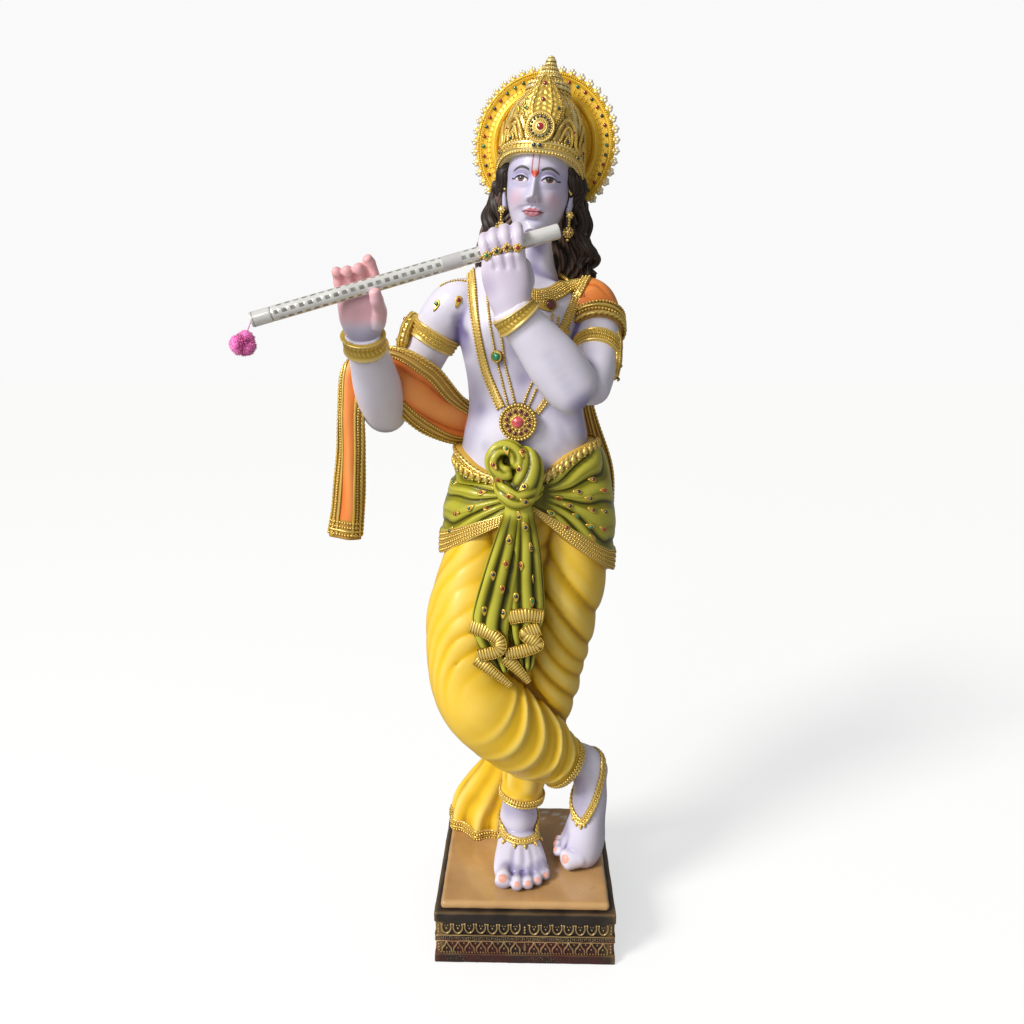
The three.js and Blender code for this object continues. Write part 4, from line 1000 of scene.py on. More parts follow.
for form, share in ((leg_standing, 0.972), (leg_crossing, 0.957)):
    start, middle = form.home(along_curve(form.centres, np.array((share, 1.0))))
    beyond = (points - start) @ unit(middle - start) > 0
    cuff = np.maximum(cuff, beyond & (np.linalg.norm(points - middle, axis=1) < CUFF_REACH * MM))
clothe(legs, 26, cuff, yellow)
piece = cast("dhoti_trail", trail, 170, 96)
stand(piece)
clothe(piece, 40, noted(piece, "stretch") > 0.875, yellow)

# Sash: olive cloth round the hips, gathered into a coiled knot in front, with two hanging ends
# Olive cloth paint with its painted shade for folds and hollows and its painted highlight for
# ridges
OLIVE, OLIVE_SHADE, OLIVE_HIGHLIGHT = (0.205, 0.19, 0.004), (0.048, 0.046, 0.002), (0.50, 0.47, 0.05)
hips = Form([
    (0, 6, 228, 60, 36), (0.5, 6, 254, 60.5, 36.5), (2, 5.5, 283, 58.5, 35.5),
    (2, 5, 305, 53.5, 32.5), (-0.5, 4, 323, 48, 29.5), (-0.5, 4, 340, 44, 27.5)
], square=2.2)


def front_dip(angle):
    return np.where(np.sin(angle) > 0, 1 - np.abs(np.cos(angle)), 0)


def sash_top(angle):
    return 324 - 23 * front_dip(angle) + 2.5 * np.cos(angle)


def sash_low(angle):
    return 247 + 45 * front_dip(angle) - 5 * np.cos(angle)


def sash_flow(t, angle):
    low, top = hips.level(sash_low(angle) - 5), hips.level(sash_top(angle) + 5)
    return low + (top - low) * t


def sash_folds(t, angle):
    turn = np.abs(np.arctan2(np.sin(angle - math.pi / 2), np.cos(angle - math.pi / 2)))
    fan = 0.30 + 0.70 * np.clip(turn / 1.5, 0, 1)
    phase = 3.4 * (t - 0.52) / fan + 0.4 * np.sin(2 * turn) + 0.12 * np.sin(7 * turn + 9 * t)
    cloth = 2.8 * crease(phase) * step_up(turn, 0.12, 0.35) * (0.45 + 0.55 * bump(turn, 0.7, 1.1))
    cloth += 0.5 * crease(2 * phase + 0.4)
    inside = step_up(t, 0.145, 0.165) * (1 - step_up(t, 0.835, 0.855))
    return 2.6 + (cloth - 2.6) * inside


sash = Form(
    list(np.hstack((hips.centres, hips.halves))), square=2.2, relief=sash_folds, flow=sash_flow
)
olive = painted(
    "olive cloth", OLIVE, OLIVE_SHADE, OLIVE_HIGHLIGHT, reach=0.6, blotch=0.10, gloss=0.29, coat=0.2
)
overpaint(olive, "gilt", (0.62, 0.38, 0.06))
sash_piece = cast("sash", sash, 280, 126)
height = noted(sash_piece, "stretch")
clothe(sash_piece, 40, (height < 0.15) | (height > 0.93), olive)

coil_ring = Form(
    [(-13.5 + 8 * math.cos(a), -39 + 1.6 * math.sin(a), 321 + 8 * math.sin(a), 5.2, 5.2)
     for a in np.linspace(-0.9, TURN - 1.0, 9)],
    across=(0, 1, 0),
    relief=lambda t, angle: 1.7 * crease((5 * angle + 9 * t) / TURN) * step_up(t, 0, 0.1) - 0.6
)
knot_lump = Form([
    (-3, -35, 330, 5, 5.5), (1.5, -38, 318, 8, 7), (-1, -39, 304, 10, 8.5), (-6, -39, 295, 9, 7),
    (-8, -39, 287, 5, 5)
], relief=lambda t, angle: 2.2 * crease((6 * angle + 11 * t) / TURN) - 0.9)
knot_wrap = Form([
    (9, -32, 303, 5, 4), (3, -41, 301, 6.5, 5), (-6, -44, 297, 7, 5.4), (-14, -42, 301, 6.5, 5),
    (-19, -35, 307, 4.5, 4)
], across=(0, 0, 1), relief=lambda t, angle: 2.0 * crease((6 * angle + 5 * t) / TURN) - 0.9)
coil_floor = Form([(-13.5, -31, 311, 5, 4), (-13.5, -33, 321, 8, 5), (-13.5, -31, 331, 5, 4)])
knot = [
    cast("knot", coil_ring, 72, 160, (0.08, 0.08)), cast("knot", knot_lump, 96, 110, (0.15, 0.15)),
    cast("knot", coil_floor, 48, 40, (0.15, 0.15)), cast("knot", knot_wrap, 80, 100, (0.12, 0.12))
]
knot = fuse("sash_knot", knot, 0.62, 3)
clothe(knot, 45, 0, olive)
# Painted shade: the knot a little darker in its hollows and all over
deepen(knot, 1.2, 0.06)


def pleats(count, height):
    return lambda t, angle: height * step_up(t, 0, 0.35) * (
        1.3 * crease((count * angle + 0.9 * np.sin(4 * t)) / TURN) - 0.7
    )


end_left = Form([
    (-7, -38, 294, 6, 6), (-12, -39, 266, 9, 7), (-18.5, -39.5, 236, 11.5, 7),
    (-24, -41, 209, 12.5, 6.5), (-21, -42, 192, 9, 4.5), (-15, -42, 174, 4, 3)
], relief=pleats(7, 2.3))
end_right = Form([
    (-3, -38, 294, 6, 6), (-1, -38, 266, 9, 8), (-0.5, -37, 240, 11, 8), (0, -38, 216, 11.5, 7),
    (-1, -39, 202, 9, 5), (0, -39, 174, 4, 3)
], relief=pleats(7, 2.3))
end_pieces = []
for name, form in (("sash_end_left", end_left), ("sash_end_right", end_right)):
    piece = cast(name, form, 140, 110, (0, 0.04))
    end_pieces.append(piece)
    clothe(piece, 60, 0, olive)
    # Painted shade: the hanging ends much darker all over and deeper in their creases
    deepen(piece, 1.5, 0.55)

# Scarf: orange cloth over the left shoulder, down the back to the hip, round the back of the
# waist and across the right elbow, where its end hangs. Narrow gold borders edge it.
# Orange cloth paint with its painted shade for folds and hollows and its painted highlight for
# ridges
ORANGE, ORANGE_SHADE, ORANGE_HIGHLIGHT = (0.82, 0.215, 0.04), (0.36, 0.06, 0.010), (0.93, 0.38, 0.11)


def turn_of(around, along):
    """The angle of each point of a cast piece."""
    return np.concatenate(([0], np.tile(turns_of(around), along - 1), [0]))


def rumpled(count, height, fine=1.0):
    return lambda t, angle: height * np.cos(count * angle + 1.5 * np.sin(5 * t)) + fine * (
        0.5 * wander(t, angle) + 0.35 * roll((5 * angle + 4 * t) / TURN)
    )


mantle = Form(
    [
        (26, 8, 424, 11, 11), (33, 7, 421.5, 17, 16.4), (40, 6, 419, 19.3, 18.7),
        (45.5, 0, 411, 19.2, 18), (46, -8, 402, 18.6, 17.6)
    ],
    across=DEPTH,
    relief=lambda t, angle: 1.7 * crease((9 * angle + 2.2 * np.sin(3 * t)) / TURN)
        * (1 - step_up(t, 0.5, 0.78)) + np.where(t > 0.78, 1.0, 0.0)
)
scarf_back = Form([
    (26, 20, 426, 15, 6), (24, 27, 400, 18, 5), (27, 30, 350, 19, 5), (35, 36, 300, 27.3, 5),
    (35.6, 39, 262, 27, 5), (38, 38, 224, 22, 5)
], relief=rumpled(4, 1.1))
swag = Form(
    [
        (25, 28.5, 346, 13, 3.5), (-6, 33, 342, 15, 4.5), (-30, 26, 339, 14.5, 5),
        (-47, 14, 340, 14.5, 5.5), (-62, 2, 350, 17, 6), (-76, -5, 366, 19, 6.5),
        (-88, -5, 378, 14, 7), (-103, -2, 384, 9, 7)
    ],
    across=(0.35, -0.2, 0.9),
    relief=lambda t, angle: rumpled(4, 0.9)(t, angle)
        + 1.3 * crease((6 * angle + 1.6 * np.sin(5 * t)) / TURN)
)
scarf_tail = Form([
    (-94, -2, 382, 9, 6), (-108, 0, 384, 9, 6), (-118, -2, 376, 9, 6), (-121.5, -4, 350, 8.4, 6),
    (-122.5, -6, 320, 8.6, 6), (-125, -8, 288, 9.6, 6), (-128.5, -8, 261, 10.6, 6)
], across=(0.8, 0, 0.6), relief=rumpled(4, 0.7, 0.6))
orange = painted(
    "orange cloth", ORANGE, ORANGE_SHADE, ORANGE_HIGHLIGHT, reach=0.9, blotch=0.08, gloss=0.42
)
overpaint(orange, "gilt", (0.50, 0.27, 0.05))
mantle_pieces = []
for name, form, around, along, edge, hem in (
    ("scarf_mantle", mantle, 190, 90, 2.0, 0.76), ("scarf_back", scarf_back, 110, 150, 0.66, 0.955),
    ("scarf_swag", swag, 120, 160, 0.55, 2.0), ("scarf_tail", scarf_tail, 96, 150, 0.45, 0.91)
):
    piece = cast(name, form, around, along)
    angle = turn_of(around, along)
    clothe(piece, 30, (np.abs(np.cos(angle)) > edge) | (noted(piece, "stretch") > hem), orange)
    mantle_pieces += [piece] if form is mantle else []

# Gold work: beads, cords, leaves and settings are gathered in heaps, and each heap is one piece
def ball(around, along):
    """A unit ball: points, four-sided faces and triangles."""
    tilt = math.pi * np.repeat(np.arange(1, along), around) / along
    turn = TURN * np.tile(np.arange(around), along - 1) / around
    ring = np.stack((np.sin(tilt) * np.cos(turn), np.sin(tilt) * np.sin(turn), -np.cos(tilt)), -1)
    return (np.vstack(((0, 0, -1), ring, (0, 0, 1))), *wrap_faces(around, along))


def lobe(outline, layers):
    """An outline of points (x, y), piled up in layers (share, height), closed below and above."""
    outline = np.asarray(outline, float)
    rings = [np.column_stack((outline * share, np.full(len(outline), z))) for share, z in layers]
    ends = [(0, 0, layers[0][1])], [(0, 0, layers[-1][1])]
    return (np.vstack((ends[0], *rings, ends[1])), *wrap_faces(len(outline), len(layers) + 1))


def rounded(count):
    return [(math.cos(a), math.sin(a)) for a in turns_of(count)]


def teardrop(count, point):
    """A round outline of radius 1, drawn out to a point on the +x side."""
    turn = turns_of(count)
    reach = 1 + (point - 1) * np.clip(np.cos(turn), 0, 1) ** 4
    return np.stack((reach * np.cos(turn), np.sin(turn)), -1)


BEAD = ball(7, 4)
PEARL = ball(10, 6)
LEAF = lobe(teardrop(14, 1.9), [(1.0, -0.3), (1.0, 0.25), (0.8, 0.5), (0.66, 0.45)])
BUD = lobe(teardrop(12, 1.7), [(0.75, -0.8), (1.0, -0.2), (0.9, 0.5), (0.45, 0.9)])
disc = [(math.cos(a), math.sin(a)) for a in np.linspace(0, TURN, 13)[:-1]]
CUT = lobe(disc, [(0.8, -0.5), (1.0, 0.1), (0.92, 0.3), (0.62, 0.62)])


class Heap:
    """Small shapes gathered up, to be made as one piece."""

    def __init__(self):
        self.points, self.quads, self.triangles, self.hollows = [], [], [], []
        self.count = 0

    def add(self, points, quads, triangles, hollows):
        self.points.append(points)
        self.quads.append(quads + self.count)
        self.triangles.append(triangles + self.count)
        self.hollows.append(hollows)
        self.count += len(points)

    def stamp(self, shape, places, normals, sizes, ahead=(0, 0, -1)):
        """Copies of a shape, z along the normals and x ahead. A tuple of sizes is one for each
        axis, in millimetres; otherwise sizes holds one for each place."""
        places = np.atleast_2d(places)
        normals = unit(np.broadcast_to(np.asarray(normals, float), places.shape))
        ahead = np.broadcast_to(np.asarray(ahead, float), places.shape)
        sizes = sizes if isinstance(sizes, tuple) else np.asarray(sizes, float)[..., None]
        sizes = np.broadcast_to(sizes, places.shape) * MM
        flat = unit(ahead - (ahead * normals).sum(-1, keepdims=True) * normals + 1e-9)
        frames = np.stack((flat, np.cross(normals, flat), normals), 1) * sizes[:, :, None]
        points, quads, triangles = shape
        n, k = len(places), len(points)
        moved = places[:, None] + np.einsum("pi,nij->npj", points, frames)
        shift = (np.arange(n) * k)[:, None, None]
        # Painted shade on the lower side of each copy and painted highlight on its top; on the
        # plinth's carving this is its dark ground
        hollows = np.tile(0.25 - 0.5 * points[:, 2], n)
        self.add(
            moved.reshape(-1, 3), (quads + shift).reshape(-1, 4),
            (triangles + shift).reshape(-1, 3), hollows
        )

    def cord(self, path, up, wide, tall=None, around=8, ripple=None, closed=False):
        """A cord along a path in metres; wide and tall are its half sizes in millimetres."""
        path = np.asarray(path, float)
        tall = wide if tall is None else tall
        count = len(path)
        run = np.roll(path, -1, 0) - np.roll(path, 1, 0)
        if not closed:
            run[0], run[-1] = path[1] - path[0], path[-1] - path[-2]
        run = unit(run)
        up = np.broadcast_to(np.asarray(up, float), path.shape)
        up = unit(up - (up * run).sum(-1, keepdims=True) * run)
        across = np.cross(run, up)
        turn = turns_of(around)
        swell = np.ones((count, around))
        if ripple is not None:
            swell = ripple(np.arange(count)[:, None], turn)
        wide = np.broadcast_to(np.asarray(wide, float), count)[:, None, None] * MM
        tall = np.broadcast_to(np.asarray(tall, float), count)[:, None, None] * MM
        rings = path[:, None] + swell[..., None] * (
            across[:, None] * np.cos(turn)[:, None] * wide
            + up[:, None] * np.sin(turn)[:, None] * tall
        )
        # Painted shade on the side of a cord towards the surface and in a rope's twists, painted
        # highlight on its outer side; on the plinth's carving this is its dark ground
        hollows = 0.25 - 0.5 * np.sin(turn) + 1.6 * (1.02 - swell)
        if closed:
            self.add(rings.reshape(-1, 3), *tube_faces(around, count), hollows.ravel())
            return
        cap = 0.7 * np.minimum(wide, tall)[:, 0]
        points = np.vstack((
            path[:1] - run[:1] * cap[0], rings.reshape(-1, 3), path[-1:] + run[-1:] * cap[-1]
        ))
        hollows = np.concatenate(([0], hollows.ravel(), [0]))
        self.add(points, *wrap_faces(around, count + 1), hollows)

    def form(self, form, around, along, domes=(0, 0)):
        points, t, angle = loft(form, around, along, domes)
        rise = form.relief(t, angle) if form.relief else np.zeros(len(t))
        self.add(points, *wrap_faces(around, along), 0.4 * (rise.mean() - rise))

    def make(self, name, finish, slot="painted_casting", *nodes):
        points = np.vstack(self.points)
        piece = make_mesh(name, points, np.vstack(self.quads), np.vstack(self.triangles))
        finish_mesh(piece)
        note(piece, "hollow", np.concatenate(self.hollows))
        settle(piece, finish, slot, *nodes)
        return piece


def even(path, up, step, closed=False):
    """Points at even steps in millimetres along a path, with the way up at each."""
    path, up = np.asarray(path, float), np.broadcast_to(np.asarray(up, float), np.shape(path))
    if closed:
        path, up = np.vstack((path, path[:1])), np.vstack((up, up[:1]))
    far = np.concatenate(([0], np.cumsum(np.linalg.norm(np.diff(path, axis=0), axis=1)))) / MM
    count = max(2, int(round(far[-1] / step)))
    marks = np.linspace(0, far[-1], count + (1 if closed else 0))
    marks = marks[:-1] if closed else marks
    both = [np.stack([np.interp(marks, far, v[:, i]) for i in range(3)], -1) for v in (path, up)]
    return both[0], unit(both[1])


def shifted(path, up, aside, lift=0.0, closed=False):
    """The path moved aside and lifted, in millimetres."""
    run = np.roll(path, -1, 0) - np.roll(path, 1, 0)
    if not closed:
        run[0], run[-1] = path[1] - path[0], path[-1] - path[-2]
    return path + unit(np.cross(run, up)) * aside * MM + up * lift * MM


def twisted(steps):
    return lambda i, turn: 1 + 0.20 * np.cos(2 * (turn - math.pi * i / steps))


def rope(heap, path, up, size, closed=False):
    path, up = even(path, up, size * 0.6, closed)
    heap.cord(path, up, size, around=8, ripple=twisted(4.5), closed=closed)


def pearls(heap, path, up, size, closed=False, shape=BEAD, gap=1.9):
    path, up = even(path, up, size * gap, closed)
    heap.stamp(shape, path, up, size)


# Painted shade darkens the gold in hollows and under beads and cords; painted highlight lightens
# ridges and tops
gold = painted(
    "gold with painted shade and highlight", GOLD, GOLD_SHADE, GOLD_HIGHLIGHT, reach=0.55, blotch=0.12, gloss=0.30, metallic=0.5
)
POLISHED = {"Coat Weight": 1.0, "Coat Roughness": 0.03, "IOR": 1.6}
glass = {}
for name, colour in (
    ("red", (0.33, 0.004, 0.006)), ("wine", (0.11, 0.003, 0.008)), ("green", (0.004, 0.20, 0.085)),
    ("dark", (0.008, 0.03, 0.026))
):
    values = {"Base Color": (*colour, 1), "Roughness": 0.06, **POLISHED}
    glass[name] = (new_finish(f"{name} glass", values)[0], Heap())


def set_stone(colour, place_at, normal, size, gold_heap=None, leaf=0.0, ahead=(0, 0, -1)):
    """A cut stone, with a round or drawn-out gold setting under it."""
    place_at = np.asarray(place_at, float)
    normal = unit(np.asarray(normal, float))
    glass[colour][1].stamp(CUT, place_at + normal * size * 0.35 * MM, normal, size, ahead)
    if gold_heap is not None:
        if leaf:
            gold_heap.stamp(LEAF, place_at, normal, (leaf, leaf, 1.2), ahead)
        else:
            turns = turns_of(24)
            aside = unit(np.cross(normal, ahead))
            upward = np.cross(aside, normal)
            ring = place_at + size * 1.12 * MM * (
                np.cos(turns)[:, None] * aside + np.sin(turns)[:, None] * upward
            )
            gold_heap.cord(ring, normal, size * 0.26, around=8, closed=True)


# Hair: dark brown, a wavy mass down the back of the head with separate locks over it, curls at
# the temples and rolled ends on the shoulders. Painted shade darkens the grooves between strands,
# and a lighter brown on their ridges is a painted highlight.
HAIR, HAIR_SHADE, HAIR_HIGHLIGHT = (0.026, 0.017, 0.013), (0.004, 0.003, 0.003), (0.20, 0.13, 0.10)
hair_mass = Form(
    [
        (9, 0, 516, 20, 18), (8.5, 4, 499, 25, 18.5), (7, 12, 480, 31, 18),
        (4.5, 16, 462, 35.5, 15), (3.5, 19, 447, 37.5, 13), (3, 22, 434, 34, 11),
        (3, 24, 420, 24, 8)
    ],
    relief=lambda t, angle: step_up(t, 0, 0.3) * 1.4 * np.cos(7 * angle + 6 * t)
        + 1.5 * crease((26 * angle + 6 * np.sin(11 * t + 2 * angle) + 6 * t) / TURN)
        + 0.25 * np.cos(67 * angle + 9 * np.sin(7 * t))
)
hair = painted("hair with painted highlights", HAIR, HAIR_SHADE, HAIR_HIGHLIGHT, reach=0.42, blotch=0.2, gloss=0.5)


def lock(stops, thick, curl=0.0, turns=1.5, phase=0.0, home=place):
    """A lock of hair through points, waving sideways and grooved into strands."""
    count = 14
    t = np.linspace(0, 1, count)
    path = along_curve(stops, t)
    grow = step_up(t, 0, 0.35)
    swing = TURN * turns * t + phase
    path = path + curl * grow[:, None] * np.stack((np.cos(swing), np.sin(swing), 0 * swing), -1)
    girth = thick * (0.65 + 0.35 * np.sin(math.pi * (0.15 + 0.75 * t)))
    girth = girth * (1 - 0.55 * step_up(t, 0.75, 1))
    return Form(
        np.column_stack((path, girth, girth * 0.8)),
        relief=lambda s, angle: thick * 0.22 * crease((8 * angle + 12 * s + phase) / TURN)
            + thick * 0.06 * np.cos(19 * angle + 14 * s),
        home=home
    )


locks = Heap()
for hand_side in (-1, 1):
    temples = [
        ([(19.5, -11, 12), (21.8, -9, 6), (22.4, -6.5, 0), (22.6, -4, -5)], 2.6, 0.9, 1.6),
        ([(21.5, -8, 13), (24, -5, 6), (24.8, -2, -1), (24.2, 1, -8)], 3.1, 1.1, 1.5),
        ([(22.8, -4, 13), (25.6, 0, 5), (26, 3, -4), (25, 5, -13)], 3.5, 1.2, 1.4)
    ]
    for i, (stops, thick, curl, turns) in enumerate(temples):
        stops = [(hand_side * a, b, c) for a, b, c in stops]
        locks.form(lock(stops, thick, curl, turns, 1.3 * i, on_head), 32, 54, (0.08, 0.1))
    falls = [
        ([(25, 5, 496), (29, 7, 488), (29, 5, 470), (33, 4, 455), (36, 0, 444)], 4.2, 1.6, 1.8),
        ([(26, 9, 495), (31, 12, 484), (33, 11, 466), (38, 8, 451), (42, 3, 440)], 4.6, 1.7, 1.7),
        ([
            (24, 13, 494), (30, 17, 481), (33, 17, 463), (39, 15, 447), (42, 11, 437)
        ], 4.8, 1.7, 1.9),
        ([
            (20, 16, 493), (25, 22, 480), (28, 24, 461), (33, 23, 443), (34, 20, 430)
        ], 4.9, 1.6, 1.8),
        ([
            (14, 19, 492), (17, 26, 481), (20, 28, 461), (24, 29, 443), (25, 28, 425)
        ], 4.9, 1.6, 1.7),
        ([(6, 21, 492), (7, 28, 482), (9, 30, 461), (12, 31, 442), (13, 31, 420)], 4.9, 1.5, 1.6)
    ]
    spread = hand_side * (0.85 if hand_side > 0 else 0.93)
    for i, (stops, thick, curl, turns) in enumerate(falls):
        stops = [(7.0 + spread * a, b, c) for a, b, c in stops]
        phase = 1.1 * i + (2 if hand_side > 0 else 0)
        locks.form(lock(stops, thick, 1.35 * curl, 1.25 * turns, phase), 36, 70, (0.06, 0.12))
        stops = [(a + 2.4 * hand_side, b - 2.6, c + 4) for a, b, c in stops]
        locks.form(
            lock(stops, 0.62 * thick, 1.8 * curl, 1.5 * turns, phase + 2), 26, 60, (0.06, 0.12)
        )
locks.make("hair_locks", hair)
piece = cast("hair_mass", hair_mass, 250, 84)
finish_mesh(piece)
note_hollows(piece, 12)
settle(piece, hair)

# Crown: a tall gilded cap with a beaded rim, a round jewel in front, a pointed leaf above it,
# looped scrolls on both sides and a ringed cone on top. u is the turn from the front, h the height.
CROWN_SEAT = 12
crown_line = np.array([
    (27, 0), (28.6, 2), (28.4, 7), (26.6, 8), (26.4, 16), (25.6, 24), (23.6, 30.5), (20.5, 36),
    (16.5, 40.5), (14, 43), (14.2, 46), (13.2, 49), (9.6, 51.5), (7.0, 55), (5.2, 58), (3.6, 61),
    (3.2, 63.4), (1.9, 66), (0.4, 66.9)
], float)


def arched(u, h):
    """The rim arches up over the forehead and runs lower round the back."""
    drop = 15 * step_up(1 - np.cos(u), 0, 1.5) - 3.6
    return CROWN_SEAT + h - drop * (1 - step_up(h, 8, 40))


def crown_spot(u, h, lift=0.0):
    u, h = np.broadcast_arrays(np.asarray(u, float), np.asarray(h, float))
    radius = np.interp(h, crown_line[:, 1], crown_line[:, 0]) + lift
    return on_head(np.stack((radius * np.sin(u), -radius * np.cos(u), arched(u, h)), -1))


def crown_out(u, h):
    return unit(crown_spot(u, h, 1) - crown_spot(u, h))


def lathe(name, line, around, spot):
    """A turned shape: spot gives the points for a radius, a height and the turn."""
    turn = turns_of(around)
    radius, height = line[:, 0], line[:, 1]
    rings = spot(radius[:, None] + 0 * turn, height[:, None] + 0 * turn, turn + 0 * radius[:, None])
    poles = [spot(np.zeros(1), height[i : i + 1 or None], np.zeros(1)) for i in (0, -1)]
    points = np.vstack((poles[0], rings.reshape(-1, 3), poles[1]))
    return make_mesh(name, points, *wrap_faces(around, len(line) + 1))


def grains(u, h):
    """Fine chased grains over the crown, in fans and ribs."""
    rib = np.cos(26 * u)
    return 0.30 * np.abs(np.cos(38 * u)) * np.abs(np.cos(2.0 * h)) + 0.16 * rib


steps = np.concatenate((np.linspace(0, 43, 100), np.linspace(43.2, 66.9, 60)))
dense = np.column_stack((np.interp(steps, crown_line[:, 1], crown_line[:, 0]), steps))


def crown_skin(radius, height, turn):
    relief = grains(turn, height) * step_up(height, 8.0, 8.6) * (1 - step_up(height, 60, 62))
    bands = 0.45 * np.abs(np.sin(height * 1.25)) * step_up(height, 44, 46)
    grown = radius + np.where(radius > 0, relief + bands, 0)
    return on_head(
        np.stack((grown * np.sin(turn), -grown * np.cos(turn), arched(turn, height)), -1)
    )


piece = lathe("crown", dense, 270, crown_skin)
finish_mesh(piece)
note_hollows(piece, 8)
# Painted shade: the crown's chased grains strongly darkened in their hollows
deepen(piece, 6, 0)
settle(piece, gold)

crown = Heap()
circle = np.linspace(0, TURN, 181)[:-1]
for h, size, lift in (
    (0.9, 1.05, 0.2), (7.6, 1.15, 0.3), (43.4, 0.9, 0.2), (49.4, 1.0, 0.3), (55, 0.75, 0.2),
    (61, 0.6, 0.1)
):
    pearls(crown, crown_spot(circle, h, lift), crown_out(circle, h), size, closed=True)
for h, size in ((3.0, 0.55), (5.8, 0.55), (45.5, 0.6), (58.2, 0.45)):
    crown.cord(crown_spot(circle, h, 0.2), crown_out(circle, h), size, around=8, closed=True)
for u in np.linspace(-2.6, 2.6, 53):
    crown.stamp(LEAF, crown_spot(u, 4.4, 0.1), crown_out(u, 4.4), (0.8, 0.8, 0.9), (0, 0, 1))
for u in turns_of(22):
    path = crown_spot(u, np.linspace(26 if abs(math.sin(u / 2)) > 0.35 else 36, 42, 14), 0.1)
    pearls(crown, path, crown_out(u, 34), 0.62)
# Looped scrolls, a back-turned inner loop, pointed side leaves
for s in (-1, 1):
    for path, size in (
        ([
            (0.36, 8.6), (0.42, 13), (0.50, 18.5), (0.60, 22.5), (0.73, 23.5), (0.86, 20),
            (0.92, 14), (0.95, 9.5), (1.06, 8.4)
        ], 1.35),
        ([
            (0.50, 8.8), (0.56, 13), (0.63, 17.5), (0.72, 19), (0.80, 16.5), (0.82, 12), (0.80, 9)
        ], 1.1),
        ([(0.62, 9), (0.66, 12), (0.71, 14), (0.75, 12.4), (0.74, 9.6)], 0.9),
        ([(0.30, 20.5), (0.40, 23.5), (0.50, 26.5), (0.46, 30), (0.38, 29.5), (0.40, 27)], 1.0),
        ([
            (1.12, 9), (1.10, 14), (1.18, 20), (1.32, 26.5), (1.42, 20), (1.50, 14), (1.52, 9)
        ], 1.05),
        ([(1.62, 9), (1.60, 15), (1.74, 20), (1.90, 25), (2.02, 19), (2.10, 14), (2.10, 9)], 1.0),
        ([(2.22, 9), (2.22, 15), (2.36, 20), (2.52, 25), (2.66, 19), (2.74, 14), (2.74, 9)], 1.0)
    ):
        uh = along_curve([(*p, 0) for p in path], np.linspace(0, 1, 60))
        line = crown_spot(s * uh[:, 0], uh[:, 1], size * 0.75)
        out = crown_out(s * uh[:, 0], uh[:, 1])
        fine, fine_out = even(line, out, 0.7)
        crown.cord(fine, fine_out, size, around=8)
        pearls(crown, shifted(line, out, 0, size * 0.9), out, 0.5, gap=2.1)
    for u, h, size in ((1.31, 14, 3.0), (1.85, 13.5, 2.8), (2.48, 13.5, 2.8), (0.66, 28, 2.0)):
        spot, out = crown_spot(s * u, h, 0.5), crown_out(s * u, h)
        crown.stamp(LEAF, spot, out, (size, size, 1.8), (0, 0, 1))
    for u, h, colour, size in (
        (0.88, 18.0, "red", 1.25), (0.69, 10.2, "dark", 1.15), (1.31, 13.0, "red", 1.2),
        (1.85, 13.0, "dark", 1.1), (2.48, 13.0, "red", 1.1), (0.98, 4.4, "dark", 1.2),
        (0.06, 4.4, "dark", 1.35)
    ):
        set_stone(colour, crown_spot(s * u, h, 1.0), crown_out(s * u, h), size, crown)


# The leaf above the front jewel, edged with beads
def leaf_veins(t, angle):
    veins = np.abs(np.cos(9 * math.pi * (t + 0.22 * np.abs(np.cos(angle))))) ** 0.7
    return veins * np.abs(np.cos(11 * angle)) ** 0.5 - 0.3


front_leaf = Form(
    [
        (1, -26, 32, 9, 3.2), (1, -24.8, 38, 12, 3.8), (0.8, -23.2, 43, 12.4, 3.8),
        (0.6, -21, 49, 9.8, 3.8), (0.3, -17.4, 57, 5.2, 3.4), (0, -13.5, 63, 1.0, 2.0)
    ],
    relief=leaf_veins, home=on_head
)
crown.form(front_leaf, 90, 80, (0.1, 0.06))
for edge in (0.20, 0.48, 1.12):
    for s in (-1, 1):
        t = np.linspace(0.04, 0.97, 60)
        angle = math.pi / 2 - s * (math.pi / 2 - edge)
        line, out = front_leaf.spot(t, angle, 0.3), front_leaf.outward(t, angle)
        pearls(crown, line, out, 0.85 - 0.3 * edge)
for t, angle, colour, size in (
    (0.48, 1.57, "red", 1.3), (0.75, 1.57, "red", 1.3), (0.31, 0.72, "dark", 1.15),
    (0.31, 2.42, "green", 1.15)
):
    set_stone(colour, front_leaf.spot(t, angle, 0.5), front_leaf.outward(t, angle), size, crown)
# The round front jewel
jewel_out = unit(on_head((0, -1, 0)) - on_head((0, 0, 0)))


def on_jewel(radius, turn, lift=0.0):
    turn = np.asarray(turn, float)
    across, up = 1 + radius * np.cos(turn), 30.6 + radius * np.sin(turn)
    return on_head(np.stack((across, 0 * turn - 29.0 - lift, up), -1))


crown.stamp(ball(32, 10), on_jewel(0, 0.0, -1.6), jewel_out, (8.3, 8.3, 3.0))
ring_turns = turns_of(72)
crown.cord(on_jewel(8.2, ring_turns, -0.4), jewel_out, 0.9, around=8, closed=True)
pearls(crown, on_jewel(7.3, ring_turns, 0.2), jewel_out, 0.7, closed=True)
crown.cord(on_jewel(4.1, ring_turns, 0.9), jewel_out, 0.55, around=8, closed=True)
for turn in turns_of(16):
    set_stone("dark", on_jewel(5.75, turn, 0.7), jewel_out, 0.82)
    crown.stamp(BEAD, on_jewel(3.2, turn, 1.2), jewel_out, 0.5)
crown.make("crown_work", gold)

# Halo: a gilded dish behind the crown, with a smooth ring, rays of beads, a ring of small stones
# and a rim of pointed buds with pale pearly tips
HALO_MIDDLE = np.array((-1.6, 23.2, 30.4))


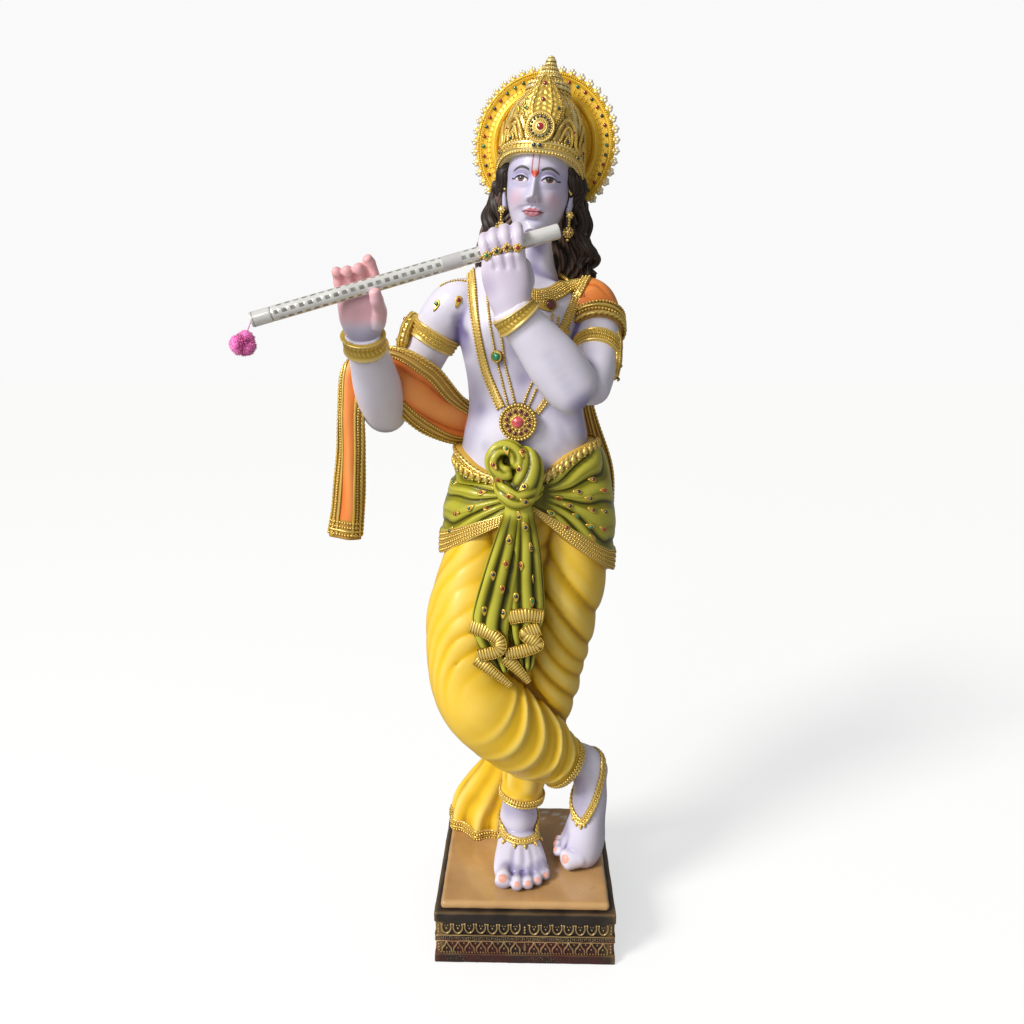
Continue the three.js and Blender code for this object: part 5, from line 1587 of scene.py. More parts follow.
def halo_spot(radius, forward, turn):
    radius, forward, turn = np.broadcast_arrays(radius, forward, turn)
    flat = np.stack((radius * np.cos(turn), -forward, radius * np.sin(turn)), -1)
    return on_head(HALO_MIDDLE + flat)


halo_out = jewel_out
dish = np.array(
    [
        (0.01, 0), (20, 0), (40, 0.2), (45.6, 0.5), (46.6, 1.6), (45.8, 3.1), (43.4, 3.5),
        (41.8, 2.7), (38, 2.5)
    ] + [
        (36.4, 3.0), (35.6, 4.2), (34, 5.0), (32.2, 4.4), (31.2, 3.0), (28, 2.6), (16, 2.4),
        (0.01, 2.4)
    ],
    float
)
fine = np.linspace(0, len(dish) - 1, 100)
dish = np.column_stack([np.interp(fine, np.arange(len(dish)), dish[:, i]) for i in (0, 1)])
piece = lathe("halo", dish, 180, halo_spot)
finish_mesh(piece)
note_hollows(piece, 10)
# Painted shade in the halo's hollows and under its beads and buds, painted highlight on their tops
halo_gold = painted(
    "yellow gold", (0.90, 0.56, 0.035), (0.48, 0.21, 0.010), (0.98, 0.72, 0.14), reach=0.8,
    blotch=0.08, gloss=0.34, metallic=0.25
)
settle(piece, halo_gold)
rays = Heap()
for turn in turns_of(72):
    for radius, size in ((30, 0.62), (28.2, 0.55), (37.3, 0.72), (26.6, 0.5), (39, 0.5)):
        rays.stamp(BEAD, halo_spot(radius, 2.7, turn), halo_out, size)
pearls(rays, halo_spot(44.6, 3.5, circle), halo_out, 0.75, closed=True)
rays.make("halo_rays", halo_gold)
for i, turn in enumerate(turns_of(42, 0.5)):
    colour = ("red", "dark")[i % 2] if i % 7 else "green"
    set_stone(colour, halo_spot(41.2, 3.0, turn), halo_out, 1.15)
buds, tips = Heap(), Heap()
for turn in turns_of(44):
    outer = unit(halo_spot(50, 0, turn) - halo_spot(40, 0, turn))
    buds.stamp(BUD, halo_spot(46.2, 1.9, turn), halo_out, (2.4, 2.6, 1.7), outer)
    for radius, aside, size in (
        (48.4, 0.0, 1.35), (47.6, 0.034, 1.25), (47.6, -0.034, 1.25), (46.0, 0.0, 1.2)
    ):
        tips.stamp(
            PEARL, halo_spot(radius, 2.4, turn + aside), halo_out, (size * 1.2, size, size), outer
        )
buds.make("halo_buds", halo_gold)
# Painted shade under the pearly tips and painted highlight on their tops
pale_gold = painted(
    "pearly gold", (0.90, 0.84, 0.64), (0.52, 0.37, 0.13), (0.96, 0.94, 0.88), reach=0.5,
    blotch=0.15, gloss=0.24, metallic=0.25
)
tips.make("halo_tips", pale_gold)

# Gold borders of the clothes: rows of small cast beads with plain lines between them, on the
# sash's belt and lower edge, the hems of the dhoti and the long edges of the scarf
SEED = ball(6, 4)


def laid_on(form, t, angle, lift):
    """A line on a form, lifted in millimetres, with the way out at each point."""
    t, angle = np.broadcast_arrays(np.asarray(t, float), np.asarray(angle, float))
    return form.spot(t, angle, lift), form.outward(t, angle)


def row(heap, form, t, angle, size, lift=0.0, closed=False, gap=1.9, shape=SEED):
    """Beads along a line on a form."""
    pearls(heap, *laid_on(form, t, angle, lift), size, closed, shape, gap)


def line_on(heap, form, t, angle, size, lift=0.0, closed=False, tall=None):
    """A plain raised line on a form."""
    path, up = even(*laid_on(form, t, angle, lift), 1.3, closed)
    heap.cord(path, up, size, tall, around=6, closed=closed)


def rope_on(heap, form, t, angle, size, lift=0.0, closed=False):
    """A twisted rope on a form."""
    rope(heap, *laid_on(form, t, angle, lift), size, closed)


round_about = np.linspace(0, TURN, 361)[:-1]
belt = Heap()
for height, size in ((0.018, 1.05), (0.054, 1.1), (0.090, 1.1), (0.126, 1.05)):
    row(belt, sash, height, round_about, size, 0.2, True)
for height in (0.0, 0.036, 0.072, 0.108, 0.144):
    line_on(belt, sash, height, round_about, 0.5, 0.25, True)
rope_on(belt, sash, 0.988, round_about, 1.35, 0.5, True)
row(belt, sash, 0.962, round_about, 0.85, 0.2, True)
rope_on(belt, sash, 0.938, round_about, 1.0, 0.2, True)
bell_line = sash.spot(0.905, round_about, 0.4)
bells, bell_out = even(bell_line, sash.outward(0.905, round_about), 5.4, True)
belt.stamp(BUD, bells, bell_out, (2.3, 2.15, 1.8), (0, 0, 1))
belt.stamp(BEAD, bells - (0, 0, 2.6 * MM), bell_out, 1.0)
belt.stamp(BEAD, bells + (0, 0, 3.2 * MM), bell_out, 0.9)
belt.make("sash_borders", gold)

hems = Heap()
for form, rows, size in (
    (leg_standing, (0.979, 0.990), 1.15), (leg_crossing, (0.966, 0.985), 1.15)
):
    for height in rows:
        row(hems, form, height, round_about, size, 0.3, True)
    line_on(hems, form, (rows[0] + rows[1]) / 2, round_about, 0.5, 0.6, True)
    rope_on(hems, form, 1.0, round_about, 1.0, 0.0, True)
for height in (0.90, 0.945):
    row(hems, trail, height, round_about, 1.15, 0.3, True)
line_on(hems, trail, 0.922, round_about, 0.6, 0.6, True)
rope_on(hems, trail, 0.875, round_about, 0.9, 0.4, True)
hems.make("dhoti_hems", gold)


def edged(heap, form, ends, marks):
    """A border of beads, a plain line and beads again, along both long edges of a cloth."""
    t = np.linspace(*ends, 140)
    for width_share, kind in marks:
        turn = math.acos(width_share)
        for angle in (turn, -turn, math.pi - turn, math.pi + turn):
            if kind == "rope":
                rope_on(heap, form, t, angle, 1.05, 0.35)
            elif kind == "line":
                line_on(heap, form, t, angle, 1.0, 0.2, tall=0.8)
            else:
                row(heap, form, t, angle, 0.95, 0.3)


scarf_trim = Heap()
edged(
    scarf_trim, swag, (0.30, 0.93),
    ((0.97, "rope"), (0.87, "beads"), (0.74, "line"), (0.60, "beads"))
)
edged(
    scarf_trim, scarf_back, (0.02, 0.99),
    ((0.985, "rope"), (0.90, "beads"), (0.81, "line"), (0.72, "beads"))
)
for height in (0.962, 0.984):
    row(scarf_trim, scarf_back, height, round_about, 0.95, 0.3, True)
rope_on(scarf_trim, scarf_back, 0.999, round_about, 1.05, 0.0, True)
scarf_trim.make("scarf_borders", gold)
tail_trim = Heap()
edged(tail_trim, scarf_tail, (0.10, 0.985), ((0.95, "rope"), (0.74, "beads"), (0.52, "line")))
for height, size in ((0.925, 1.0), (0.945, 1.0), (0.98, 1.1)):
    row(tail_trim, scarf_tail, height, round_about, size, 0.3, True)
line_on(tail_trim, scarf_tail, 0.962, round_about, 0.9, 0.3, True)
for height, size in ((0.80, 1.15), (0.93, 1.15)):
    row(tail_trim, mantle, height, round_about, size, 0.4, True)
line_on(tail_trim, mantle, 0.865, round_about, 1.2, 0.3, True)
rope_on(tail_trim, mantle, 0.99, round_about, 1.4, 0.0, True)
tail_trim.make("scarf_hems", gold)


START_BACK, GUIDE_GAP, SKIP = 0.3, 7 * MM, 0.2 * MM


def seen_from(direction, *pieces, guide=None):
    """A way to find the surface that is met first when looking along a direction. A guide is a
    rough copy of the surface, for parts that lie behind an arm."""
    direction = np.asarray(direction, float)
    graph = bpy.context.evaluated_depsgraph_get()
    trees = [BVHTree.FromObject(piece, graph) for piece in pieces]
    guide_trees = [BVHTree.FromObject(guide, graph)] if guide else []

    def first_met(among, start):
        hits = [tree.ray_cast(start, direction) for tree in among]
        return min(
            (hit for hit in hits if hit[0] is not None), key=lambda hit: hit[3], default=None
        )

    def find(stops, count=0):
        stops = np.asarray(stops, float)
        if count:
            stops = along_curve(stops, np.linspace(0, 1, count))
        spots, outs = [], []
        for start in place(stops) - START_BACK * direction:
            if guide:
                rough = first_met(guide_trees, start)
                if rough is None:
                    continue
                start = np.array(rough[0]) - GUIDE_GAP * direction
            met = first_met(trees, start)
            while met and np.dot(met[1], direction) > 0:
                met = first_met(trees, np.array(met[0]) + SKIP * direction)
            if met:
                spots.append(met[0])
                outs.append(met[1])
        spots, outs = np.array(spots), np.array(outs)
        if count:
            for _ in range(3):
                spots[1:-1] = (spots[:-2] + 2 * spots[1:-1] + spots[2:]) / 4
                outs[1:-1] = (outs[:-2] + 2 * outs[1:-1] + outs[2:]) / 4
        return spots, unit(outs)

    return find


# Fringe: gilt, pleated ribbons that zigzag down the folded ends of the sash to narrow dotted tips
fringe = Heap()
for stops, taper in (
    ([(-37, -45, 209), (-27, -47, 206), (-18, -48, 200), (-19, -48.5, 193), (-32, -48, 189)], 0.15),
    ([(-33, -46, 186), (-27, -47, 181), (-20, -46.5, 175), (-10.5, -45, 166.5)], 0.62),
    ([(-11, -44, 215), (0, -46, 217.5), (11, -44, 216)], 0.05),
    ([
        (8.5, -45, 208), (0, -46, 204), (5.5, -46, 199.5), (7.5, -45.5, 196), (-3, -46.5, 192),
        (-14, -46.5, 190)
    ], 0.15),
    ([(-14, -45.5, 187), (-8, -45, 181), (-3, -44, 175), (2, -42, 168)], 0.6)
):
    t = np.linspace(0, 1, 90)
    path, up = even(place(along_curve(stops, t)), (0, -1, 0.12), 0.34)
    share = np.linspace(0, 1, len(path))
    half = 5.2 * (1 - taper * share**1.2)
    fringe.cord(
        path, up, half, 1.9, around=22,
        ripple=lambda i, turn: 1
            + 0.22 * (np.abs(np.cos(math.pi * i / 5.5)) - 0.6) * np.abs(np.sin(turn)) ** 0.4
    )
    for aside in (-1, 1):
        edge = shifted(path, up, 1.0) - path
        pearls(
            fringe, path + edge * (aside * half * 0.86)[:, None] + up * 1.0 * MM, up, 0.62,
            shape=SEED
        )
# Painted shade: the fringe's ribs and undersides darkened more strongly, and all of it a little
fringe.hollows = [2.3 * hollows + 0.5 for hollows in fringe.hollows]
fringe.make("sash_fringe", gold)

# Stones of the sash: small round glass stones in gold teardrops, glued over the olive cloth
sash_front = seen_from((0, 1, 0), sash_piece, knot, *end_pieces)
settings = Heap()
KNOT_AT = np.array((-8.0, 300.0))
sash_stones = [
    (45, 305, "wine"), (35, 298, "dark"), (22, 294.5, "red"), (43, 293, "dark"), (29, 289, "dark"),
    (17, 284, "green"), (34, 281.5, "green"), (45, 284.5, "wine"), (27, 274.5, "red"),
    (44, 273.6, "green"), (45.5, 265, ""), (-41.6, 305.6, "dark"), (-31, 297, "red"),
    (-39, 286, "green"), (-27, 286.6, "red"), (-51, 300, "green"), (-49, 281, "red"),
    (-53, 268, "dark"), (-22, 303, "dark"), (53, 297, "red"), (54, 282, "dark"), (53, 270, "red")
]
sash_stones += [  # on the knot
    (-13.2, 329.5, "green"), (-3, 327.3, "red"), (-4.9, 316.5, "wine"), (-21.7, 319.4, "red"),
    (-18.4, 309.4, "red"), (-1.5, 305.7, "dark"), (-0.7, 295.4, "dark"), (-11.5, 299.5, "red"),
    (-21.7, 301.4, "green"), (-4.9, 284.6, "dark"),
]
sash_stones += [  # on the hanging ends
    (-11.5, 269.3, "dark"), (-13.5, 253.8, "red"), (-22, 245.7, "dark"), (-16, 236.7, "red"),
    (-27.9, 221.2, "dark"), (-15.3, 219, "dark"), (-0.7, 277.9, "dark"), (3, 263.7, "dark"),
    (-3.1, 252.4, "red"), (4.3, 243.1, "dark"), (-6.8, 230.2, "dark"), (3.9, 227.4, "green"),
]
for x, z, colour in sash_stones:
    spots, outs = sash_front([(x, 0, z)])
    if not len(spots):
        continue
    aside = KNOT_AT - (x, z) if z > 262 else np.array((0.0, -1.0))
    ahead = (aside[0], 0, aside[1] + 1e-3)
    settings.stamp(LEAF, spots, outs, (2.5, 2.1, 1.5), ahead)
    if colour:
        set_stone(colour, spots[0] + outs[0] * 0.5 * MM, outs[0], 1.25)
settings.make("sash_settings", gold)

# Jewellery: cast with the body and gilded. A broad engraved collar, a beaded band and thin
# chains to a round pendant, bangles and armlets with leafy plaques, anklets, rings and earrings.
chest_guide = cast("chest_guide", torso, 90, 90)
chest_front = seen_from((0, 1, 0), body, *mantle_pieces, guide=chest_guide)
bpy.data.objects.remove(chest_guide)
jewels = Heap()


def girdle(heap, spot, relief, around=420, across=17, sink=1.4):
    """A raised closed band: spot(v, angle, lift) over its width v, relief(v, angle) its height."""
    v = np.concatenate((np.linspace(0, 1, across), np.linspace(1, 0, 4)))
    angle = np.linspace(0, TURN, around + 1)[:-1][:, None]
    rise = relief(v[None, :across], angle)
    lift = np.hstack((rise, np.full((around, 4), -sink)))
    points = spot(np.broadcast_to(v, lift.shape), np.broadcast_to(angle, lift.shape), lift)
    hollows = np.hstack((0.8 * (rise.mean() - rise), np.zeros((around, 4))))
    heap.add(points.reshape(-1, 3), *tube_faces(across + 4, around), hollows.ravel())


def engraved(v, angle, count):
    """Leafy chasing between two plain rims."""
    middle = step_up(v, 0.16, 0.24) * (1 - step_up(v, 0.76, 0.84))
    leaves = np.abs(np.sin(count * angle + 5.5 * np.abs(v - 0.5))) * (0.6 + 0.4 * np.cos(19 * v))
    fine_rims = bump(v, 0.22, 0.03) + bump(v, 0.78, 0.03)
    rims = bump(v, 0.07, 0.065) + bump(v, 0.93, 0.065) + 0.35 * fine_rims
    return 1.3 + 1.1 * rims + 0.55 * middle * leaves


def laid_round(piece, stops, count=300, rounds=40):
    """A closed line through points in millimetres, laid down on a piece and smoothed."""
    tree = BVHTree.FromObject(piece, bpy.context.evaluated_depsgraph_get())
    ring = along_curve(list(stops) + [stops[0]], np.linspace(0, 1, count + 1))[:-1]
    near_by = [tree.find_nearest(spot)[:2] for spot in place(ring)]
    spots, outs = (np.array([pair[i] for pair in near_by]) for i in (0, 1))
    for _ in range(rounds):
        spots = (np.roll(spots, 1, 0) + 2 * spots + np.roll(spots, -1, 0)) / 4
        outs = (np.roll(outs, 1, 0) + 2 * outs + np.roll(outs, -1, 0)) / 4
    return spots, unit(outs)


collar_right = [
    (14, -19, 427), (22, -16, 431.5), (29, -8, 438), (31.5, 3, 441.5), (27, 14, 441), (17, 21, 440)
]
collar_left = [
    (-5, 21, 440), (-15, 14, 441.5), (-19, 3, 442), (-17, -8, 438.5), (-10, -16, 431.5),
    (-2, -19, 427)
]
collar_line, collar_out = laid_round(
    body, [(6, -20, 425), *collar_right, (6, 23, 440), *collar_left], 400
)
COLLAR_HALF, COLLAR_RISE = 5.6, 2.0
jewels.cord(collar_line, collar_out, COLLAR_HALF, COLLAR_RISE, around=20, closed=True)
for aside, size in ((4.5, 1.25), (2.7, 0.8), (1.3, 0.8), (-0.1, 0.8), (-1.5, 0.8), (-2.8, 0.75)):
    lift = COLLAR_RISE * math.sqrt(1 - (aside / COLLAR_HALF) ** 2)
    pearls(
        jewels, shifted(collar_line, collar_out, aside, lift, True), collar_out, size, closed=True,
        shape=SEED
    )
rim = shifted(collar_line, collar_out, -4.3, 0.9, True)
jewels.cord(rim, collar_out, 1.1, 1.2, around=8, closed=True)
spots, outs = chest_front([(-1.5, 0, 429)])
flower = spots[0] + outs[0] * 1.2 * MM
jewels.stamp(ball(24, 8), flower, outs[0], (3.2, 3.2, 1.6))
for turn in turns_of(9):
    petal_at = flower + 2.7 * MM * np.array((math.cos(turn), 0, math.sin(turn)))
    jewels.stamp(BEAD, petal_at, outs[0], 0.95)
set_stone("red", flower + outs[0] * 1.5 * MM, outs[0], 1.3, jewels)
for x, z, turns in ((5.5, 421, 0.4), (1.0, 424, 1.3), (9.5, 419.5, 0.1)):
    spots, outs = chest_front([(x, 0, z)])
    jewels.stamp(LEAF, spots[0] + outs[0] * MM, outs[0], (3.4, 2.6, 1.8), (math.cos(turns), 0, -1))


def chain(stops, size, lift=0.5, shape=SEED, gap=1.75):
    spots, outs = chest_front([(x, 0, z) for x, z in stops], 90)
    pearls(jewels, spots + outs * lift * MM, outs, size, shape=shape, gap=gap)
    return spots, outs


for stops in (
    [(-26.5, 430), (-24.9, 414), (-20.7, 388), (-17.3, 374), (-12.6, 355)],
    [(-21, 428), (-19.4, 410), (-16.6, 397.6), (-14.5, 382.4), (-11.1, 368.6), (-8, 356)],
    [(16, 414), (13, 400), (9, 385), (4.1, 372.5), (0.6, 364.5), (-2.8, 355.5)],
    [(20, 412), (17, 398), (12.5, 382), (7.6, 370), (4.1, 361.7), (1.0, 355)]
):
    chain(stops, 1.0)
band_stops = [
    (-37.7, 442), (-36.6, 434), (-35.4, 422), (-33.2, 407), (-30.8, 392), (-27.6, 378),
    (-22.8, 366), (-17.5, 354)
]
band, band_out = chest_front([(x, 0, z) for x, z in band_stops], 150)
jewels.cord(band + band_out * 0.1 * MM, band_out, 3.1, 1.1, around=12)
for aside in (-1, 1):
    pearls(jewels, shifted(band, band_out, 2.5 * aside, 0.8), band_out, 1.05)
links, link_out = even(band + band_out * 0.9 * MM, band_out, 2.3)
jewels.stamp(BEAD, links, link_out, (1.05, 0.75, 0.8))
side_band, side_out = chest_front(
    [(x, 0, z) for x, z in ((25.5, 404), (19.5, 382), (13.4, 364), (11.6, 357.6), (6.5, 350.5))], 90
)
jewels.cord(side_band + side_out * 0.1 * MM, side_out, 1.9, 0.8, around=12)
for aside in (-1, 1):
    pearls(jewels, shifted(side_band, side_out, 1.35 * aside, 0.6), side_out, 0.95)
mantle_edge, mantle_out = seen_from((0, 1, 0), body, *mantle_pieces)([
    (39, 0, 438), (33.5, 0, 428), (28.5, 0, 417), (25, 0, 409), (22.5, 0, 404)
], 90)
jewels.cord(mantle_edge, mantle_out, 3.2, 1.3, around=12)
for aside in (-1, 0, 1):
    pearls(jewels, shifted(mantle_edge, mantle_out, 2.3 * aside, 1.1), mantle_out, 0.95)
over_shoulder = seen_from((0, 0, -1), body)
shoulder_line, shoulder_out = over_shoulder([
    (-58, -1, 460), (-50, -2, 460), (-43, -3, 460), (-37, -5, 460)
], 40)
pearls(jewels, shoulder_line + shoulder_out * 0.4 * MM, shoulder_out, 0.85)
skin_front = seen_from((0, 1, 0), body)
for x, z, colour in ((-60, 421, "green"), (-45.5, 423.5, "red")):
    spots, outs = skin_front([(x, 0, z)])
    jewels.stamp(LEAF, spots, outs, (2.9, 2.3, 1.4), (-0.4, 0, -1))
    set_stone(colour, spots[0] + outs[0] * 0.4 * MM, outs[0], 1.5)

# The round pendant on the navel chain
FACE_OUT = np.array((0.0, -1.0, 0.0))
PENDANT = place((-6, -30, 345))


def on_pendant(radius, turn, lift):
    turn = np.asarray(turn, float)
    return PENDANT + MM * np.stack((
        radius * np.cos(turn), 0 * turn - lift, radius * np.sin(turn)
    ), -1)


saucer = [
    (1.0, -8), (1.0, -0.9), (0.97, -0.2), (0.88, 0.1), (0.80, -0.3), (0.45, -0.2), (0.40, 0.15),
    (0.1, 0.2)
]
disc = rounded(72)
jewels.stamp(lobe(disc, saucer), PENDANT, FACE_OUT, (12.4, 12.4, 1.0))
ring_turns = turns_of(120)
pearls(jewels, on_pendant(11.5, ring_turns, 0.3), FACE_OUT, 1.15, closed=True)
pearls(jewels, on_pendant(9.6, ring_turns, 0.1), FACE_OUT, 0.7, closed=True, shape=SEED)
for turn in turns_of(12, 0.5):
    set_stone("wine", on_pendant(7.5, turn, 0.2), FACE_OUT, 1.45, jewels)
    jewels.stamp(BEAD, on_pendant(4.9, turn, 0.3), FACE_OUT, 0.85)
    jewels.stamp(SEED, on_pendant(8.9, turn + TURN / 24, 0.1), FACE_OUT, 0.6)
jewels.cord(on_pendant(4.2, ring_turns, 0.3), FACE_OUT, 0.55, around=8, closed=True)
jewels.make("necklaces", gold)

# Bangles and armlets
bands = Heap()
for limb, low, high, count, depth_of in (
    (right_forearm, 0.745, 0.975, 15, 1.0), (left_forearm, 0.735, 0.872, 15, 1.0),
    (right_arm, 0.415, 0.515, 20, 0.8), (left_arm, 0.600, 0.694, 20, 0.8)
):
    girdle(
        bands, lambda v, angle, lift: limb.spot(low + (high - low) * v, angle, lift),
        lambda v, angle: depth_of * engraved(v, angle, count), 270
    )
for limb, low, high in ((right_arm, 0.415, 0.515), (left_arm, 0.600, 0.694)):
    for height in (low + 0.25 * (high - low), low + 0.5 * (high - low), low + 0.75 * (high - low)):
        row(bands, limb, height, round_about, 0.7, 1.3, True)
plaque_right = [
    (-75, 5, 415, 3, 4), (-80.5, 2, 408, 6, 4), (-84, 1, 398, 7, 4), (-86, 1, 390, 3, 4)
]
plaque_left = [
    (56.5, -6, 405, 4, 4), (58, -13, 396, 8, 4), (57, -22, 384, 9, 4), (54.5, -29, 373, 4, 4)
]
for rings, facing in ((plaque_right, math.pi / 2), (plaque_left, 1.5 * math.pi)):
    plaque = Form(
        rings, across=DEPTH,
        relief=lambda t, angle: 0.5 * np.abs(np.sin(11 * t)) * np.abs(np.cos(7 * angle))
            + 0.5 * np.cos(26 * t) ** 2 * np.cos(angle) ** 4
    )
    bands.form(plaque, 72, 76, (0.08, 0.08))
    for angle in (
        0.45, 1.05, math.pi - 0.45, math.pi - 1.05, -0.45, -1.05, math.pi + 0.45, math.pi + 1.05
    ):
        row(bands, plaque, np.linspace(0.08, 0.92, 60), angle, 0.62, 0.3)
    for t, colour in ((0.28, "red"), (0.72, "green"), (0.97, "dark")):
        for angle in (math.pi / 2, 1.5 * math.pi):
            set_stone(colour, plaque.spot(t, angle, 0.4), plaque.outward(t, angle), 1.15, bands)
bands.make("bangles", gold)

# Anklets: two twisted ropes with beads between them and small bells below
anklets = Heap()
BELLS = 8
left_round = [
    (-21, 6, 25), (-17, -4, 23.5), (-7, -10, 22), (3, -8, 21.5), (11.5, 2, 21.5), (11, 14, 27),
    (6, 26, 33), (-6, 31, 35), (-17, 24, 31)
]
right_round = [
    (49, 9, 92), (54, -6, 88.5), (56, -11, 79), (54, -13.5, 65), (49, -15, 52), (42, -17, 42),
    (36.5, -9, 43), (35, 2, 50), (40, 12, 62), (46, 14, 78)
]
for foot, stops, bell_from, bell_to in (
    (feet[0], left_round, 0.0, 0.5), (feet[1], right_round, 0.30, 0.62)
):
    spots, outs = laid_round(foot, stops)
    for aside, size, lift in ((-1.7, 1.35, 0.8), (1.6, 1.2, 0.8)):
        rope(anklets, shifted(spots, outs, aside, lift, True), outs, size, closed=True)
    pearls(anklets, shifted(spots, outs, 0, 1.2, True), outs, 1.05, closed=True)
    marks = [int(share * len(spots)) for share in np.linspace(bell_from, bell_to, BELLS)]
    low, low_out = spots[marks], outs[marks]
    down = low_out * low_out[:, 2:] + (0, 0, -1)
    bell_at = low + low_out * 1.0 * MM + unit(down) * 3.9 * MM
    anklets.stamp(PEARL, bell_at, low_out, 1.45)
    anklets.stamp(BEAD, bell_at + unit(down) * 1.7 * MM, low_out, 0.8)
anklets.make("anklets", gold)

# Finger rings with small flower settings, and flower-ball earrings on the long ear lobes
trinkets = Heap()
for x, z, colour in (
    (-23.7, 446, "green"), (-18.0, 448.4, "dark"), (-12.1, 450.4, "wine"), (-5.6, 450.4, "red")
):
    middle = np.array((x, -65.6, z))
    turns = turns_of(40)
    loop = place(middle + 4.15 * np.stack((np.cos(turns), np.sin(turns), 0.22 * np.cos(turns)), -1))
    trinkets.cord(loop, (0, 0, 1), 0.55, 0.9, around=8, closed=True)
    flower = place(middle + (0, -4.6, 0.2))
    trinkets.stamp(ball(20, 8), flower, FACE_OUT, (2.3, 2.3, 1.2))
    for turn in turns_of(8):
        trinkets.stamp(
            BEAD, flower + 2.1 * MM * np.array((math.cos(turn), -0.05, math.sin(turn))), FACE_OUT,
            0.8
        )
    set_stone(colour, flower - (0, 1.1 * MM, 0), FACE_OUT, 1.25, trinkets)
for hand_side in (-1, 1):
    lobe_at = np.array((hand_side * 22.4, -4.6, -15.5))
    trinkets.stamp(ball(18, 8), on_head(lobe_at), jewel_out, (2.1, 2.1, 1.5))
    for turn in turns_of(7):
        trinkets.stamp(
            SEED, on_head(lobe_at + (1.9 * math.cos(turn), -0.6, 1.9 * math.sin(turn))), jewel_out,
            0.7
        )
    for drop in (2.9, 4.6, 6.3):
        trinkets.stamp(BEAD, on_head(lobe_at - (0, -0.2, drop)), jewel_out, 0.95)
    middle = lobe_at + (0, 0.6, -10.6)
    trinkets.stamp(ball(20, 12), on_head(middle), jewel_out, 3.0)
    for tilt, count in ((0.5, 5), (1.05, 9), (1.57, 11), (2.1, 9), (2.65, 5)):
        for turn in turns_of(count, 0.3 * tilt):
            aside = np.array((
                math.sin(tilt) * math.cos(turn), math.sin(tilt) * math.sin(turn), math.cos(tilt)
            ))
            trinkets.stamp(SEED, on_head(middle + 3.05 * aside), jewel_out, 0.75)
    for dx, dz in ((-1.6, 1.2), (1.6, 1.2), (-1.2, -1.6), (1.4, -1.4)):
        set_stone("wine" if dx > 0 else "dark", on_head(middle + (dx, -2.9, dz)), jewel_out, 0.8)
    trinkets.stamp(PEARL, on_head(middle - (0, 0, 4.6)), jewel_out, 0.95)
    top_at = on_head((hand_side * 21.6, -6.4, -0.5))
    trinkets.stamp(LEAF, top_at, jewel_out, (2.6, 1.5, 1.3), (0, 0, 1))
    trinkets.stamp(BEAD, top_at - (0, 0.8 * MM, 2.6 * MM), jewel_out, 0.9)
trinkets.make("rings_and_earrings", gold)

# The four largest stones: domed, polished cabochons with foil behind, each glued into its seat
def on_chest(height, angle, lift):
    t = torso.level(height)
    return torso.spot(t, angle, lift), torso.outward(t, angle)


for node, colour, centre, normal, radius, slot in (
    ("stone_pendant", (0.78, 0.10, 0.13), PENDANT, FACE_OUT, 3.9, "pink_stone"),
    ("stone_crown", (0.42, 0.008, 0.008), on_head((1, -29.4, 30.6)), jewel_out, 2.4, "red_stone"),
    ("stone_collar", (0.20, 0.004, 0.010), *on_chest(418, 1.22, 3.4), 3.0, "red_stone"),
    ("stone_necklace", (0.005, 0.26, 0.11), *on_chest(388, 1.95, 3.2), 2.7, "green_stone")
):
    finish, tree, shader = new_finish(node.replace("_", " "), {"Roughness": 0.08, **POLISHED})
    where = wired(tree, "TexCoord", {}).outputs["Object"]
    cloud = wired(tree, "TexNoise", {"Vector": where, "Scale": 320}).outputs["Fac"]
    ramp = wired(tree, "ValToRGB", {"Fac": cloud})
    ramp.color_ramp.elements[0].position, ramp.color_ramp.elements[1].position = 0.35, 0.7
    ramp.color_ramp.elements[0].color = (*(0.55 * v for v in colour), 1)
    ramp.color_ramp.elements[1].color = (*(min(1, 1.35 * v + 0.01) for v in colour), 1)
    tree.links.new(ramp.outputs["Color"], shader.inputs["Base Color"])
    dome = Heap()
    layers = [(1.0, 0.06)] + [
        (math.cos(a), 0.06 + 0.66 * math.sin(a)) for a in np.linspace(0.05, 1.5, 9)
    ]
    dome.stamp(lobe(rounded(40), layers), centre, normal, radius)
    dome.make(node.replace("stone_", "cabochon_"), finish, slot, node)
collar_seat = Heap()
for height, angle, lift, radius in ((418, 1.22, 3.4, 4.3), (388, 1.95, 3.2, 4.0)):
    centre, normal = on_chest(height, angle, lift)
    collar_seat.stamp(
        lobe(disc, [(0.75, -5), (1.0, -2.4), (1.0, -0.6), (0.9, 0.0), (0.1, 0.05)]), centre, normal,
        (radius, radius, 1.0)
    )
    aside = unit(np.cross(normal, (0, 0, 1)))
    rim = centre + radius * 0.90 * MM * (
        np.cos(ring_turns)[:, None] * aside + np.sin(ring_turns)[:, None] * np.cross(normal, aside)
    )
    pearls(collar_seat, rim, normal, 0.62, closed=True, shape=SEED)
collar_seat.make("stone_seats", gold)

